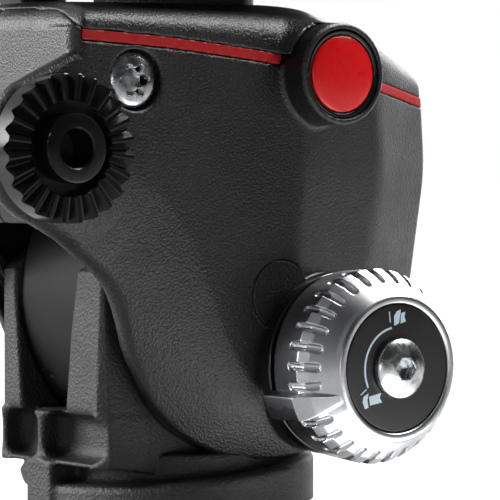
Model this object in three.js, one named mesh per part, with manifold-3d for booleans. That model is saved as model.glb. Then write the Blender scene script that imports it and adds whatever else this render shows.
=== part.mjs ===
// A two-way camera head: it pans about the upright axis and tilts about the cross axis.
// Millimetres, +Z up, +Y towards the lens, +X to the side that carries the tilt lock knob.
// The origin is the centre of the base, on the face that the tripod carries.
import * as THREE from 'three';
import { mergeVertices } from 'three/addons/utils/BufferGeometryUtils.js';
import Module from 'manifold-3d';

// Clearances that pieces share
const GAP = 0.3;
const RUNNING_GAP = 0.4;
const OVERRUN = 1;
const OPEN_END = 200;
const WELD_DISTANCE = 1e-4;

// Base and pan bearing
const BASE_RADIUS = 30;
const BASE_THICKNESS = 5.8;
const BASE_EDGE = 0.7;
const PAD_RADIUS = 26.5;
const PAD_HOLE_RADIUS = 15.5;
const PAD_HEIGHT = 2;
const PAD_PROUD = 0.8;
const INSERT_RADIUS = 8;
const INSERT_BORE_RADIUS = 4.76;
const INSERT_HEIGHT = 9;
const SPINDLE_FLANGE_RADIUS = 13;
const SPINDLE_FLANGE_HEIGHT = 3.4;
const SPINDLE_RADIUS = 9.9;
const SPINDLE_TOP = 13.4;
const SPINDLE_LEDGE = 1;
const CIRCLIP_RADIUS = 12.4;
const CIRCLIP_HEIGHT = 0.9;
const CIRCLIP_DROP = 3.6;
const CIRCLIP_MOUTH_HALF_WIDTH = 3.1;
const SPINDLE_GROOVE_DEPTH = 0.9;
const PAN_WASHER_INNER_RADIUS = 17;
const PAN_WASHER_OUTER_RADIUS = 27.5;
const PAN_WASHER_HEIGHT = 0.7;
const PAN_DISC_RADIUS = 15.4;
const PAN_DISC_HEIGHT = 1.4;

// Pan body: skirt, fork and its rear web
const SKIRT_BOTTOM = BASE_THICKNESS + PAN_WASHER_HEIGHT + 2 * GAP;
const SKIRT_MID_TOP = 14.6;
const SKIRT_RISE_PER_LENGTH_SHARE = 0.1;
const SKIRT_EDGE = 1.2;
const FORK_RIGHT = 17.7;
const FORK_LEFT = 20.2;
const FORK_REAR = 30;
const FORK_FRONT = 21;
const FORK_MOUTH_DRAFT = 2.3;
const FORK_EAR_FROM_DEG = 8;
const FORK_EAR_TO_DEG = 150;
const FORK_LIP_SAG_RADIUS = 128;
const FORK_LIP_LOW = 13;
const FORK_LIP_SAG_Y = 2;
const WEB_REACH = 4.6;
const WEB_TOP = 24.5;
const WEB_BOTTOM = 16.8;
const WEB_RIB_HALF_WIDTH = 4.6;
const WEB_RIB_REACH = 1.6;
const PAN_CAVITY_RADIUS = 16;
const PAN_CAVITY_TOP = 13.9;

// Pan lock, on the left side of the pan body
const PAN_LOCK_HEIGHT = 11.8;
const PAN_LOCK_BOSS_RADIUS = 4.5;
const PAN_LOCK_BOSS_REACH = 4;
const PAN_LOCK_BOSS_END = BASE_RADIUS + PAN_LOCK_BOSS_REACH;
const PAN_STUD_RADIUS = 2;
const PAN_SHOE_LENGTH = 4;
const PAN_SHOE_WIDTH = 7;
const PAN_SHOE_HEIGHT = 2.6;
const PAN_KNOB_RADIUS = 9;
const PAN_KNOB_LENGTH = 13;
const PAN_KNOB_FLUTES = 8;
const PAN_KNOB_FLUTE_RADIUS = 2.6;
const PAN_KNOB_EDGE = 1.4;

// Tilt axis and what turns on it
const DRUM_RADIUS = 35;
const DRUM_CLEAR_HEIGHT = 16;
const TILT_Y = 6.5;
const TILT_Z = DRUM_RADIUS + DRUM_CLEAR_HEIGHT;
const DRUM_RIGHT = 8.7;
const DRUM_LEFT = 14.9;
const DRUM_HUB_INSET = 1.1;
const DRUM_RIM_THICKNESS = 6;
const DRUM_MARK_FROM_EDGE = 3.1;
const DRUM_MARK_ANGLE_DEG = 209;
const DRUM_MARK_SLANT_DEG = 20;
const DRUM_MARK_DEPTH = 0.8;
const DRUM_MARK_WIDTH = 1.1;
const DRUM_MARK_LENGTH = 4.4;
const FORK_EAR_INSET = 8;
const FORK_EAR_RADIUS = DRUM_RADIUS - FORK_EAR_INSET;
const FORK_SHOULDER_RISE = 6;
const FORK_SHOULDER_HEIGHT = TILT_Z + FORK_SHOULDER_RISE;
const FORK_EAR_SWEEP_MARGIN = 10.8;
const FORK_EAR_SWEEP_RADIUS = FORK_EAR_RADIUS + FORK_EAR_SWEEP_MARGIN;
const AXLE_RADIUS = 6;
const AXLE_BORE_RADIUS = 2.2;
const CARTRIDGE_RADIUS = 11;
const TILT_WASHER_RADIUS = 15;
const TILT_WASHER_THICKNESS = 0.8;
const AXLE_SCREW_HEAD_RADIUS = 8;
const AXLE_SCREW_HEAD_HEIGHT = 2.4;
const AXLE_SCREW_SHANK_LENGTH = 7;
const NECK_HALF_WIDTH = 17.7;
const NECK_REAR = 16;
const NECK_FRONT = 16;
const NECK_BOTTOM = TILT_Z + DRUM_RADIUS - DRUM_RIM_THICKNESS;
const NECK_TOP = 98;

// Head form: the outer shape that the two shells and the hood share
const HEAD_HALF_WIDTH = 30;
const HEAD_REAR = 45;
const HEAD_REAR_CORNER = 3.5;
const HEAD_FORM_BOTTOM = 3;
const HEAD_FORM_TOP = 124;
const BEVEL_SHARE = 0.3;
const SIDE_CREASE_Y = 12;
const FACET_CREASE_X = 18;
const FACET_CREASE_Y = 42.6;
const NOSE_HALF_WIDTH = 5;
const NOSE_Y = 62.2;
const NOSE_SPLIT_Z = 77;
const NOSE_LEAN_BELOW_SHARE = 0.165;
const NOSE_LEAN_ABOVE_SHARE = 0.07;
const NOSE_DROP = 1;
const NOSE_BOTTOM = TILT_Z - NOSE_DROP;
const SHELL_WALL = 3;
const SHELL_ARC_INSET = 0.6;
const SHELL_ARC_RADIUS = DRUM_RADIUS - SHELL_ARC_INSET;
const SHELL_ARC_FROM_DEG = 200.5;
const SHELL_ARC_TO_DEG = 338;
const FORK_SWEEP_MARGIN = 15.4;
const FORK_SWEEP_RADIUS = DRUM_RADIUS + FORK_SWEEP_MARGIN;
const FORK_SIDE_GAP = 0.5;

// Tail of the shells, as places seen from the tilt axis
const TAIL_FOOT_BACK = 32.1;
const TAIL_FOOT_DROP = 12;
const TAIL_KNEE_BACK = 38.5;
const TAIL_KNEE_RISE = 4;
const TAIL_FOOT_Y = TILT_Y - TAIL_FOOT_BACK;
const TAIL_FOOT_Z = TILT_Z - TAIL_FOOT_DROP;
const TAIL_KNEE_Y = TILT_Y - TAIL_KNEE_BACK;
const TAIL_KNEE_Z = TILT_Z + TAIL_KNEE_RISE;

// Ears at the rear that carry the rosettes for a pan handle
const ROSETTE_RADIUS = 14.7;
const EAR_Y = -48.8;
const EAR_Z = 81.3;
const EAR_MARGIN = 0.7;
const EAR_RADIUS = ROSETTE_RADIUS + EAR_MARGIN;
const EAR_OUTER = HEAD_HALF_WIDTH;
const EAR_EDGE = 1.2;
const EAR_ROOT = 18;
const EAR_TOP_RISE = 19.4;
const EAR_HEEL_BACK = 10.5;
const EAR_HEEL_RISE = 6;
const EAR_ARC_FROM_DEG = 124;
const EAR_ARC_TO_DEG = 252;
const ROSETTE_TEETH = 24;
const ROSETTE_BACK_THICKNESS = 3.6;
const ROSETTE_TOOTH_HEIGHT = 1.9;
const ROSETTE_TOOTH_FALL = 0.9;
const ROSETTE_RECESS_RADIUS = 9.4;
const ROSETTE_RECESS_DEPTH = 2.6;
const ROSETTE_HUB_RADIUS = 6.9;
const ROSETTE_HUB_PROUD = 1.7;
const ROSETTE_HUB_EDGE = 0.45;
const ROSETTE_BORE_RADIUS = 3.9;
const ROSETTE_SPIGOT_RADIUS = 6;
const ROSETTE_SPIGOT_LENGTH = 9;

// Scooped flank: the crease on the side face and the fall from it to the shell's edge.
// Shares of the drum's radius: the start seen from the tilt axis, the way to the edge, and the fall.
const SCOOP_SHARES = [
  { back: -1.671, up: 1.171, alongBack: -0.286, alongUp: -0.514, fall: 0 },
  { back: -1.129, up: 0.757, alongBack: -0.486, alongUp: -0.443, fall: 0.074 },
  { back: -0.829, up: 0.571, alongBack: -0.386, alongUp: -0.429, fall: 0.097 },
  { back: -0.643, up: 0.314, alongBack: -0.417, alongUp: -0.429, fall: 0.131 },
  { back: -0.506, up: 0.029, alongBack: -0.469, alongUp: -0.343, fall: 0.166 },
  { back: -0.386, up: -0.257, alongBack: -0.446, alongUp: -0.28, fall: 0.189 },
  { back: -0.229, up: -0.471, alongBack: -0.374, alongUp: -0.289, fall: 0.2 },
  { back: -0.014, up: -0.614, alongBack: -0.246, alongUp: -0.311, fall: 0.206 },
  { back: 0.443, up: -0.714, alongBack: -0.343, alongUp: -0.274, fall: 0.206 },
  { back: 1.186, up: -0.714, alongBack: -0.4, alongUp: -0.286, fall: 0.2 },
];
const SCOOP_START_PROUD = 0.02;

// Hood above the stripe: places along its length, and how far the line has fallen there
const STRIPE_REAR_Z = 105.6;
const STRIPE_FALL = 12.2;
const STRIPE_SHARES = [
  { along: 0, fall: 0 },
  { along: 0.21, fall: 0.107 },
  { along: 0.42, fall: 0.287 },
  { along: 0.532, fall: 0.426 },
  { along: 0.817, fall: 0.754 },
  { along: 1, fall: 1 },
];
const ROOF_REAR_Z = 111.6;
const ROOF_FALL = 14;
const ROOF_SHARES = [
  { along: 0, fall: 0 },
  { along: 0.55, fall: -0.071 },
  { along: 0.672, fall: 0.029 },
  { along: 0.784, fall: 0.229 },
  { along: 0.951, fall: 0.771 },
  { along: 1, fall: 1 },
];
const headLine = (shares, start, fall) => shares.map((share) => (
  { y: -HEAD_REAR + share.along * (NOSE_Y + HEAD_REAR), z: start - share.fall * fall }));
const STRIPE_LINE = headLine(STRIPE_SHARES, STRIPE_REAR_Z, STRIPE_FALL);
const ROOF_LINE = headLine(ROOF_SHARES, ROOF_REAR_Z, ROOF_FALL);
const STRIPE_HEIGHT = 2.1;
const STRIPE_DEPTH = 1.2;
const STRIPE_GAP = 0.2;
const HOOD_ARCH_STEPS = 12;
const HOOD_ROOM_STEPS = 6;
const HOOD_ARCH_POWER = 0.62;
const HOOD_WALL = 3;
const HOOD_REAR_RAKE = 5;
const HOOD_END_SHARES = [
  { run: 0, squeeze: 0.8 },
  { run: 0.25, squeeze: 0.3 },
  { run: 1, squeeze: 0 },
];

// Badge boss on each side, bare
const BADGE_Y = 17.3;
const BADGE_Z = 96.8;
const BADGE_BOSS_RADIUS = 10.6;
const BADGE_BOSS_FLARE = 1.5;
const BADGE_BOSS_MID_FLARE_SHARE = 0.7;
const BADGE_BOSS_ROOT_DEPTH = 6;
const BADGE_BOSS_END = 37.2;
const BADGE_SEAT_RADIUS = 9.3;
const BADGE_SEAT_DEPTH = 3;
const BADGE_BEZEL_THICKNESS = 1;
const BADGE_RADIUS = 7.9;
const BADGE_CROWN = 1.1;
const BADGE_CROWN_STEPS = 3;

// Shell screws and axle caps
const SHELL_SCREW_Y = -30.7;
const SHELL_SCREW_Z = 94.8;
const SHELL_SCREW_RECESS_RADIUS = 6.3;
const SHELL_SCREW_RECESS_DEPTH = 3;
const SHELL_SCREW_HEAD_RADIUS = 5.5;
const SHELL_SCREW_HEAD_HEIGHT = 2.4;
const SHELL_SCREW_DRIVE_RADIUS = 2.7;
const SHELL_SCREW_SHANK_RADIUS = 2.5;
const SHELL_SCREW_SHANK_LENGTH = 9;
const SHELL_SCREW_BOSS_RADIUS = 8;
const SHELL_SCREW_CROWN_SHARES = [
  { radius: 1, height: 0.3 },
  { radius: 0.82, height: 0.78 },
  { radius: 0.5, height: 1 },
];
const SOCKET_LOBES = 6;
const SOCKET_LOBE_POINTS = 4;
const SOCKET_LOBE_SHARE = 0.18;
const CAP_RADIUS = 7.2;
const CAP_THICKNESS = 2;
const CAP_BOSS_RADIUS = 9.4;

// Tilt lock knob, on the right shell, below the tilt axis and ahead of it
const KNOB_AHEAD = 13.1;
const KNOB_DROP = 14.4;
const KNOB_Y = TILT_Y + KNOB_AHEAD;
const KNOB_Z = TILT_Z - KNOB_DROP;
const KNOB_BACK = 35.9;
const KNOB_BACK_RADIUS = 19.5;
const KNOB_SHOULDER = 45.6;
const KNOB_SHOULDER_RADIUS = 20.2;
const KNOB_FACE = 52.2;
const KNOB_SHOULDER_EDGE = 1.2;
const KNOB_BEZEL_RADIUS = 14.7;
const KNOB_BEZEL_EDGE = 0.6;
const KNOB_BEZEL_FALL = 0.9;
const KNOB_RECESS_RADIUS = 13.2;
const KNOB_RECESS_DEPTH = 1.6;
const KNOB_POSITIONS = 30;
const KNOB_NOTCH_LENGTH = 7.6;
const KNOB_NOTCH_WIDTH = 1.5;
const KNOB_NOTCH_DEPTH = 0.9;
const KNOB_NOTCH_BACK_SHARE = 0.55;
const KNOB_NOTCH_FRONT_SHARE = 0.4;
const KNOB_NOTCH_FRONT_DROP = 3;
const KNOB_LUG_ANGLE_DEG = 202;
const KNOB_LUG_HALF_ANGLE_DEG = 7.5;
const KNOB_LUG_REACH = 2.4;
const KNOB_LUG_BACK = 34.4;
const KNOB_LUG_ROOT_DEPTH = 4;
const KNOB_LUG_SPREAD_SHARE = 1.1;
const KNOB_LUG_STEPS = [
  { x: KNOB_LUG_BACK, outer: KNOB_BACK_RADIUS + KNOB_LUG_REACH, widthShare: 1 },
  { x: KNOB_SHOULDER - KNOB_SHOULDER_EDGE, outer: KNOB_BACK_RADIUS + KNOB_LUG_REACH, widthShare: 1 },
  { x: KNOB_SHOULDER + KNOB_SHOULDER_EDGE, outer: KNOB_BACK_RADIUS + KNOB_BEZEL_EDGE, widthShare: 0.8 },
  { x: KNOB_FACE - KNOB_BEZEL_FALL, outer: KNOB_BEZEL_RADIUS + KNOB_BEZEL_EDGE, widthShare: 0.35 },
];
const KNOB_DISC_THICKNESS = 1.2;
const KNOB_SCREW_HEAD_RADIUS = 6.1;
const KNOB_SCREW_HEAD_HEIGHT = 2.9;
const KNOB_SCREW_SOCKET_RADIUS = 2;
const KNOB_SCREW_CROWN_SHARES = [
  { radius: 1, height: 0.17 },
  { radius: 0.88, height: 0.55 },
  { radius: 0.62, height: 0.88 },
  { radius: 0.4, height: 1 },
];
const HEXAGON_SIDES = 6;
const KNOB_STUD_RADIUS = 3;
const COLLAR_RADIUS = 19.2;
const COLLAR_BACK = 30.4;
const COLLAR_FRONT = 34;
const COLLAR_STEP_RADIUS = 17.6;
const COLLAR_EDGE = 0.6;
const KNOB_BOSS_RADIUS = 18.6;
const TILT_SHOE_RADIUS = 4.6;
const TILT_SHOE_THICKNESS = 3;

// Platform, clamp and release plate
const PLATFORM_BOTTOM = 115.6;
const PLATFORM_HALF_WIDTH = 27;
const PLATFORM_REAR = -36;
const PLATFORM_FRONT = 30;
const PLATFORM_THICKNESS = 5;
const PLATFORM_NECK_RADIUS = 17;
const RAIL_HEIGHT = 5.2;
const RAIL_WIDTH = 5.5;
const RAIL_SLOPE = 1.6;
const RAIL_REAR_SETBACK = 12;
const CHANNEL_HALF_WIDTH = 21;
const PLATE_HALF_LENGTH = 36;
const PLATE_CENTRE_Y = -1;
const PLATE_HALF_WIDTH = 25;
const PLATE_THICKNESS = 10.6;
const PLATE_DOVETAIL_HEIGHT = 5.4;
const PLATE_PAD_HEIGHT = 1.4;
const PLATE_PAD_LENGTH = 18;
const PLATE_EDGE = 3;
const PLATE_BEVEL = 1;
const PLATE_FLOOR_THICKNESS = 3;
const PLATE_SIDE_PLAY = 0.6;
const CLAMP_KNOB_Y = -14;
const CLAMP_KNOB_RADIUS = 7.5;
const CLAMP_KNOB_LENGTH = 11;
const CLAMP_JAW_LENGTH = 26;
const CLAMP_SCREW_RADIUS = 2;
const CLAMP_KNOB_FLUTES = 6;
const CLAMP_KNOB_FLUTE_RADIUS = 2.4;
const CLAMP_KNOB_EDGE = 1.2;
const BUTTON_Y = 16;
const BUTTON_RADIUS = 2.6;
const BUTTON_PROUD = 2.6;
const BUTTON_DEPTH = 6;
const BUTTON_TRAVEL = 2;
const CAMERA_SCREW_RADIUS = 3.1;
const CAMERA_SCREW_HEAD_RADIUS = 7;
const CAMERA_SCREW_PROUD = 5;
const CAMERA_SCREW_HEAD_HEIGHT = 3;
const CAMERA_SCREW_HEAD_EDGE = 0.5;
const COIN_SLOT_HALF_WIDTH = 0.8;
const COIN_SLOT_DEPTH = 1.2;
const SCREW_SLOT_HALF_LENGTH = 9;
const LEVEL_RADIUS = 5.2;
const LEVEL_Y = -43.5;
const LEVEL_TAB_RADIUS = 7.6;
const LEVEL_DEPTH = 3;

// Facets
const ROUND_SIDES = 28;
const SMALL_ROUND_SIDES = 16;
const FINE_ROUND_SIDES = 8;
const DRUM_SIDES = 40;
const GRIP_SIDES = 24;
const ARC_STEPS = 15;

// Materials
const finish = (color, roughness, metalness) => new THREE.MeshStandardMaterial({ color, roughness, metalness });
const castPaint = finish(0x1d1e20, 0.62, 0.2);
const moulded = finish(0x2a2b2d, 0.55, 0.1);
const blackPlastic = finish(0x111214, 0.4, 0);
const rubber = finish(0x17181a, 0.9, 0);
const steel = finish(0xc9ccd0, 0.25, 1);
const darkSteel = finish(0x26282b, 0.4, 0.9);
const satinAlloy = finish(0xb9bcc1, 0.38, 0.9);
const brass = finish(0xb08d3e, 0.35, 1);
const nylon = finish(0xe4e2da, 0.5, 0);
const redGloss = finish(0xc8101c, 0.15, 0);
const redPaint = finish(0xb5121b, 0.4, 0);
const levelGlass = finish(0xc9e04a, 0.08, 0);

const wasm = await Module();
wasm.setup();

// Solids and their placing

function solidOf(geometry) {
  const bare = geometry.clone();
  for (const name of ['normal', 'uv', 'color']) bare.deleteAttribute(name);
  const welded = mergeVertices(bare, WELD_DISTANCE);
  const vertProperties = new Float32Array(welded.attributes.position.array);
  const triVerts = new Uint32Array(welded.index.array);
  return new wasm.Manifold(new wasm.Mesh({ numProp: 3, vertProperties, triVerts }));
}

function geometryOf(solid) {
  const made = solid.getMesh();
  const geometry = new THREE.BufferGeometry();
  geometry.setAttribute('position', new THREE.BufferAttribute(new Float32Array(made.vertProperties), 3));
  geometry.setIndex(new THREE.BufferAttribute(new Uint32Array(made.triVerts), 1));
  const flat = geometry.toNonIndexed();
  flat.computeVertexNormals();
  return flat;
}

const join = (first, ...others) => others.reduce((sum, other) => sum.add(other), first);
const cut = (first, ...others) => others.reduce((rest, other) => rest.subtract(other), first);
const common = (first, ...others) => others.reduce((rest, other) => rest.intersect(other), first);

function block(x0, x1, y0, y1, z0, z1) {
  const box = new THREE.BoxGeometry(x1 - x0, y1 - y0, z1 - z0);
  return solidOf(box.translate((x0 + x1) / 2, (y0 + y1) / 2, (z0 + z1) / 2));
}

// A turned piece: profile points are radius and height, and the height runs along the given axis.
function turned(profile, axis, sides, place = [0, 0, 0]) {
  const points = profile.map(([radius, height]) => new THREE.Vector2(radius, height));
  const closed = profile[0][0] === 0 && profile.at(-1)[0] === 0;
  if (!closed) points.push(points[0].clone());
  const lathe = new THREE.LatheGeometry(points, sides);
  if (axis === 'x') lathe.rotateZ(-Math.PI / 2);
  if (axis === 'z') lathe.rotateX(Math.PI / 2);
  return upright(solidOf(lathe.translate(...place)));
}

// A solid whose faces point inwards is turned inside out.
function upright(solid) {
  if (solid.volume() >= 0) return solid;
  return solidOf(flipped(geometryOf(solid)));
}

function flipped(geometry) {
  const position = geometry.attributes.position.array.slice();
  for (let i = 0; i < position.length; i += 9) {
    for (let k = 0; k < 3; k += 1) {
      const held = position[i + 3 + k];
      position[i + 3 + k] = position[i + 6 + k];
      position[i + 6 + k] = held;
    }
  }
  const turnedOver = new THREE.BufferGeometry();
  turnedOver.setAttribute('position', new THREE.BufferAttribute(position, 3));
  return turnedOver;
}

const rod = (radius, from, to, axis, sides, place) =>
  turned([[0, from], [radius, from], [radius, to], [0, to]], axis, sides, place);

const ring = (inner, outer, from, to, axis, sides, place) =>
  turned([[inner, from], [outer, from], [outer, to], [inner, to]], axis, sides, place);

// A loft through closed loops that all have the same number of points.
function loft(loops) {
  const count = loops[0].length;
  const position = loops.flat().flatMap((point) => [point.x, point.y, point.z]);
  const index = [];
  for (let s = 0; s + 1 < loops.length; s += 1) {
    for (let i = 0; i < count; i += 1) {
      const a = s * count + i;
      const b = s * count + ((i + 1) % count);
      index.push(a, b, b + count, a, b + count, a + count);
    }
  }
  const last = (loops.length - 1) * count;
  for (let i = 1; i + 1 < count; i += 1) {
    index.push(0, i + 1, i);
    index.push(last, last + i, last + i + 1);
  }
  const geometry = new THREE.BufferGeometry();
  geometry.setAttribute('position', new THREE.Float32BufferAttribute(position, 3));
  geometry.setIndex(index);
  const solid = solidOf(geometry);
  return solid.volume() >= 0 ? solid : solidOf(flipped(geometry.toNonIndexed()));
}

// A side outline in Y and Z, drawn out along X.
function sidePlate(outline, x0, x1) {
  const shape = new THREE.Shape(outline.map(([y, z]) => new THREE.Vector2(y, z)));
  const drawn = new THREE.ExtrudeGeometry(shape, { depth: x1 - x0, bevelEnabled: false });
  const turn = new THREE.Matrix4().set(0, 0, 1, x0, 1, 0, 0, 0, 0, 1, 0, 0, 0, 0, 0, 1);
  return solidOf(drawn.applyMatrix4(turn));
}

function mirrored(solid) {
  const geometry = geometryOf(solid).scale(-1, 1, 1);
  return solidOf(flipped(geometry));
}

function arc(centreY, centreZ, radius, fromDeg, toDeg, steps) {
  return Array.from({ length: steps + 1 }, (_, i) => {
    const angle = THREE.MathUtils.degToRad(fromDeg + ((toDeg - fromDeg) * i) / steps);
    return [centreY + radius * Math.cos(angle), centreZ + radius * Math.sin(angle)];
  });
}

function heightOn(line, y) {
  if (y <= line[0].y) return line[0].z;
  const next = line.findIndex((point) => point.y >= y);
  if (next < 0) return line.at(-1).z;
  const a = line[next - 1];
  const b = line[next];
  return a.z + ((b.z - a.z) * (y - a.y)) / (b.y - a.y);
}

const tiltCentre = [0, TILT_Y, TILT_Z];

// How far the fork, the drum and the shells' room reach on each side, since the drum lies off centre
const forkReach = (side) => (side > 0 ? FORK_RIGHT : FORK_LEFT);
const drumReach = (side) => (side > 0 ? DRUM_RIGHT : DRUM_LEFT);
const hubReach = (side) => drumReach(side) - DRUM_HUB_INSET;
const slotReach = (side) => drumReach(side) + GAP;
const roomReach = (side) => forkReach(side) + FORK_SIDE_GAP;

// Base and pan bearing

function basePlate() {
  const bottom = PAD_PROUD;
  const body = turned([
    [INSERT_RADIUS + GAP, bottom],
    [BASE_RADIUS - BASE_EDGE, bottom],
    [BASE_RADIUS, bottom + BASE_EDGE],
    [BASE_RADIUS, BASE_THICKNESS - BASE_EDGE],
    [BASE_RADIUS - BASE_EDGE, BASE_THICKNESS],
    [SPINDLE_FLANGE_RADIUS + GAP, BASE_THICKNESS],
    [SPINDLE_FLANGE_RADIUS + GAP, bottom + SPINDLE_LEDGE],
    [INSERT_RADIUS + GAP, bottom + SPINDLE_LEDGE],
  ], 'z', ROUND_SIDES);
  const groove = ring(
    PAD_HOLE_RADIUS - GAP, PAD_RADIUS + GAP, bottom - OVERRUN, PAD_HEIGHT + GAP, 'z', ROUND_SIDES);
  return cut(body, groove);
}

const basePad = () => ring(PAD_HOLE_RADIUS, PAD_RADIUS, 0, PAD_HEIGHT, 'z', ROUND_SIDES);

const threadInsert = () =>
  ring(INSERT_BORE_RADIUS, INSERT_RADIUS, PAD_PROUD, PAD_PROUD + INSERT_HEIGHT, 'z', SMALL_ROUND_SIDES);

function panSpindle() {
  const flangeBottom = PAD_PROUD + SPINDLE_LEDGE + GAP;
  const flangeTop = flangeBottom + SPINDLE_FLANGE_HEIGHT;
  const clipBottom = SPINDLE_TOP - CIRCLIP_DROP - CIRCLIP_HEIGHT - GAP;
  const clipTop = SPINDLE_TOP - CIRCLIP_DROP + GAP;
  const grooveRadius = SPINDLE_RADIUS - SPINDLE_GROOVE_DEPTH;
  return turned([
    [INSERT_RADIUS + GAP, flangeBottom],
    [SPINDLE_FLANGE_RADIUS, flangeBottom],
    [SPINDLE_FLANGE_RADIUS, flangeTop],
    [SPINDLE_RADIUS, flangeTop],
    [SPINDLE_RADIUS, clipBottom],
    [grooveRadius, clipBottom],
    [grooveRadius, clipTop],
    [SPINDLE_RADIUS, clipTop],
    [SPINDLE_RADIUS, SPINDLE_TOP],
    [0, SPINDLE_TOP],
    [0, PAD_PROUD + INSERT_HEIGHT + GAP],
    [INSERT_RADIUS + GAP, PAD_PROUD + INSERT_HEIGHT + GAP],
  ], 'z', SMALL_ROUND_SIDES);
}

function panCirclip() {
  const top = SPINDLE_TOP - CIRCLIP_DROP;
  const inner = SPINDLE_RADIUS - 2 * GAP;
  const whole = ring(inner, CIRCLIP_RADIUS, top - CIRCLIP_HEIGHT, top, 'z', SMALL_ROUND_SIDES);
  const mouth = CIRCLIP_MOUTH_HALF_WIDTH;
  return cut(whole, block(-mouth, mouth, 0, CIRCLIP_RADIUS + OVERRUN, 0, SPINDLE_TOP));
}

function panWasher() {
  const bottom = BASE_THICKNESS + GAP;
  const top = bottom + PAN_WASHER_HEIGHT;
  return ring(PAN_WASHER_INNER_RADIUS, PAN_WASHER_OUTER_RADIUS, bottom, top, 'z', SMALL_ROUND_SIDES);
}

function panDragDisc() {
  const bottom = SKIRT_BOTTOM;
  return ring(SPINDLE_RADIUS + GAP, PAN_DISC_RADIUS, bottom, bottom + PAN_DISC_HEIGHT, 'z', SMALL_ROUND_SIDES);
}

// Pan body

// The skirt's top falls towards the rear, and the fork's lip sags between its ends.
function skirt() {
  const tall = SKIRT_MID_TOP + BASE_RADIUS;
  const cylinder = rod(BASE_RADIUS, SKIRT_BOTTOM, tall, 'z', ROUND_SIDES);
  const rise = BASE_RADIUS * SKIRT_RISE_PER_LENGTH_SHARE;
  const reach = BASE_RADIUS + OVERRUN;
  const above = sidePlate([
    [-reach, SKIRT_MID_TOP - rise],
    [reach, SKIRT_MID_TOP + rise],
    [reach, tall + OVERRUN],
    [-reach, tall + OVERRUN],
  ], -reach, reach);
  return cut(cylinder, above);
}

function forkOutline() {
  const ear = arc(TILT_Y, TILT_Z, FORK_EAR_RADIUS, FORK_EAR_FROM_DEG, FORK_EAR_TO_DEG, ARC_STEPS);
  return [
    [-FORK_REAR, SKIRT_BOTTOM],
    [FORK_FRONT, SKIRT_BOTTOM],
    [FORK_FRONT, FORK_LIP_LOW + WEB_REACH / 2],
    [TILT_Y + FORK_EAR_RADIUS, TILT_Z],
    ...ear,
    [-FORK_REAR + WEB_REACH / 2, FORK_SHOULDER_HEIGHT + OVERRUN],
    [-FORK_REAR, FORK_SHOULDER_HEIGHT - OVERRUN],
  ];
}

// The slot's mouth, open to the rear: it narrows downwards, as the cheeks' cast ends do.
function slotMouth() {
  const narrow = WEB_TOP + WEB_REACH;
  const levels = [{ z: narrow, draft: FORK_MOUTH_DRAFT }, { z: TILT_Z, draft: 0 }, { z: OPEN_END, draft: 0 }];
  return loft(levels.map(({ z, draft }) => {
    const left = -slotReach(-1) + draft;
    const right = slotReach(1) - draft;
    return [[left, -OPEN_END], [right, -OPEN_END], [right, OPEN_END], [left, OPEN_END]]
      .map(([x, y]) => new THREE.Vector3(x, y, z));
  }));
}

// Shallow seats in the cheeks for the tilt washers
function washerSeat(side) {
  const seat = rod(TILT_WASHER_RADIUS + GAP, hubReach(side), slotReach(side) + GAP / 2, 'x', SMALL_ROUND_SIDES,
    tiltCentre);
  return side > 0 ? seat : mirrored(seat);
}

function panBody() {
  const fork = sidePlate(forkOutline(), -FORK_LEFT, FORK_RIGHT);
  const sagCentre = FORK_LIP_LOW + FORK_LIP_SAG_RADIUS;
  const sag = rod(FORK_LIP_SAG_RADIUS, -BASE_RADIUS, BASE_RADIUS, 'x', 3 * ROUND_SIDES,
    [0, FORK_LIP_SAG_Y, sagCentre]);
  const web = sidePlate([
    [-FORK_REAR + OVERRUN, WEB_BOTTOM],
    [-FORK_REAR - WEB_REACH, WEB_BOTTOM + OVERRUN],
    [-FORK_REAR - WEB_REACH, WEB_TOP - OVERRUN],
    [-FORK_REAR - WEB_REACH + OVERRUN, WEB_TOP],
    [-FORK_REAR + OVERRUN, WEB_TOP + WEB_REACH],
  ], -FORK_LEFT, FORK_RIGHT);
  const rib = sidePlate([
    [-BASE_RADIUS + WEB_REACH, SKIRT_BOTTOM],
    [-FORK_REAR - WEB_REACH - WEB_RIB_REACH, SKIRT_BOTTOM],
    [-FORK_REAR - WEB_REACH - WEB_RIB_REACH, WEB_TOP - OVERRUN],
    [-FORK_REAR - WEB_REACH, WEB_TOP],
    [-BASE_RADIUS + WEB_REACH, WEB_TOP],
  ], -WEB_RIB_HALF_WIDTH - WEB_REACH, WEB_RIB_HALF_WIDTH - WEB_REACH);
  const lockCentre = [0, 0, PAN_LOCK_HEIGHT];
  const lockBoss = rod(PAN_LOCK_BOSS_RADIUS, -PAN_LOCK_BOSS_END, 0, 'x', SMALL_ROUND_SIDES, lockCentre);
  const slot = rod(DRUM_RADIUS + RUNNING_GAP, -slotReach(-1), slotReach(1), 'x', ROUND_SIDES, tiltCentre);
  const cavity = rod(PAN_CAVITY_RADIUS, SKIRT_BOTTOM - OVERRUN, PAN_CAVITY_TOP, 'z', ROUND_SIDES);
  const axleBore = rod(AXLE_RADIUS + GAP, -OPEN_END, OPEN_END, 'x', SMALL_ROUND_SIDES, tiltCentre);
  const lockBore = rod(PAN_STUD_RADIUS + GAP, -PAN_LOCK_BOSS_END - OVERRUN, -SPINDLE_RADIUS - PAN_SHOE_LENGTH, 'x',
    FINE_ROUND_SIDES, lockCentre);
  const upper = join(common(fork, sag), web, rib, skirt(), lockBoss);
  const trimmed = cut(upper, block(-OPEN_END, OPEN_END, -OPEN_END, OPEN_END, -OPEN_END, SKIRT_BOTTOM));
  return cut(trimmed, slot, slotMouth(), cavity, axleBore, lockBore, washerSeat(1), washerSeat(-1));
}

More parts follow.
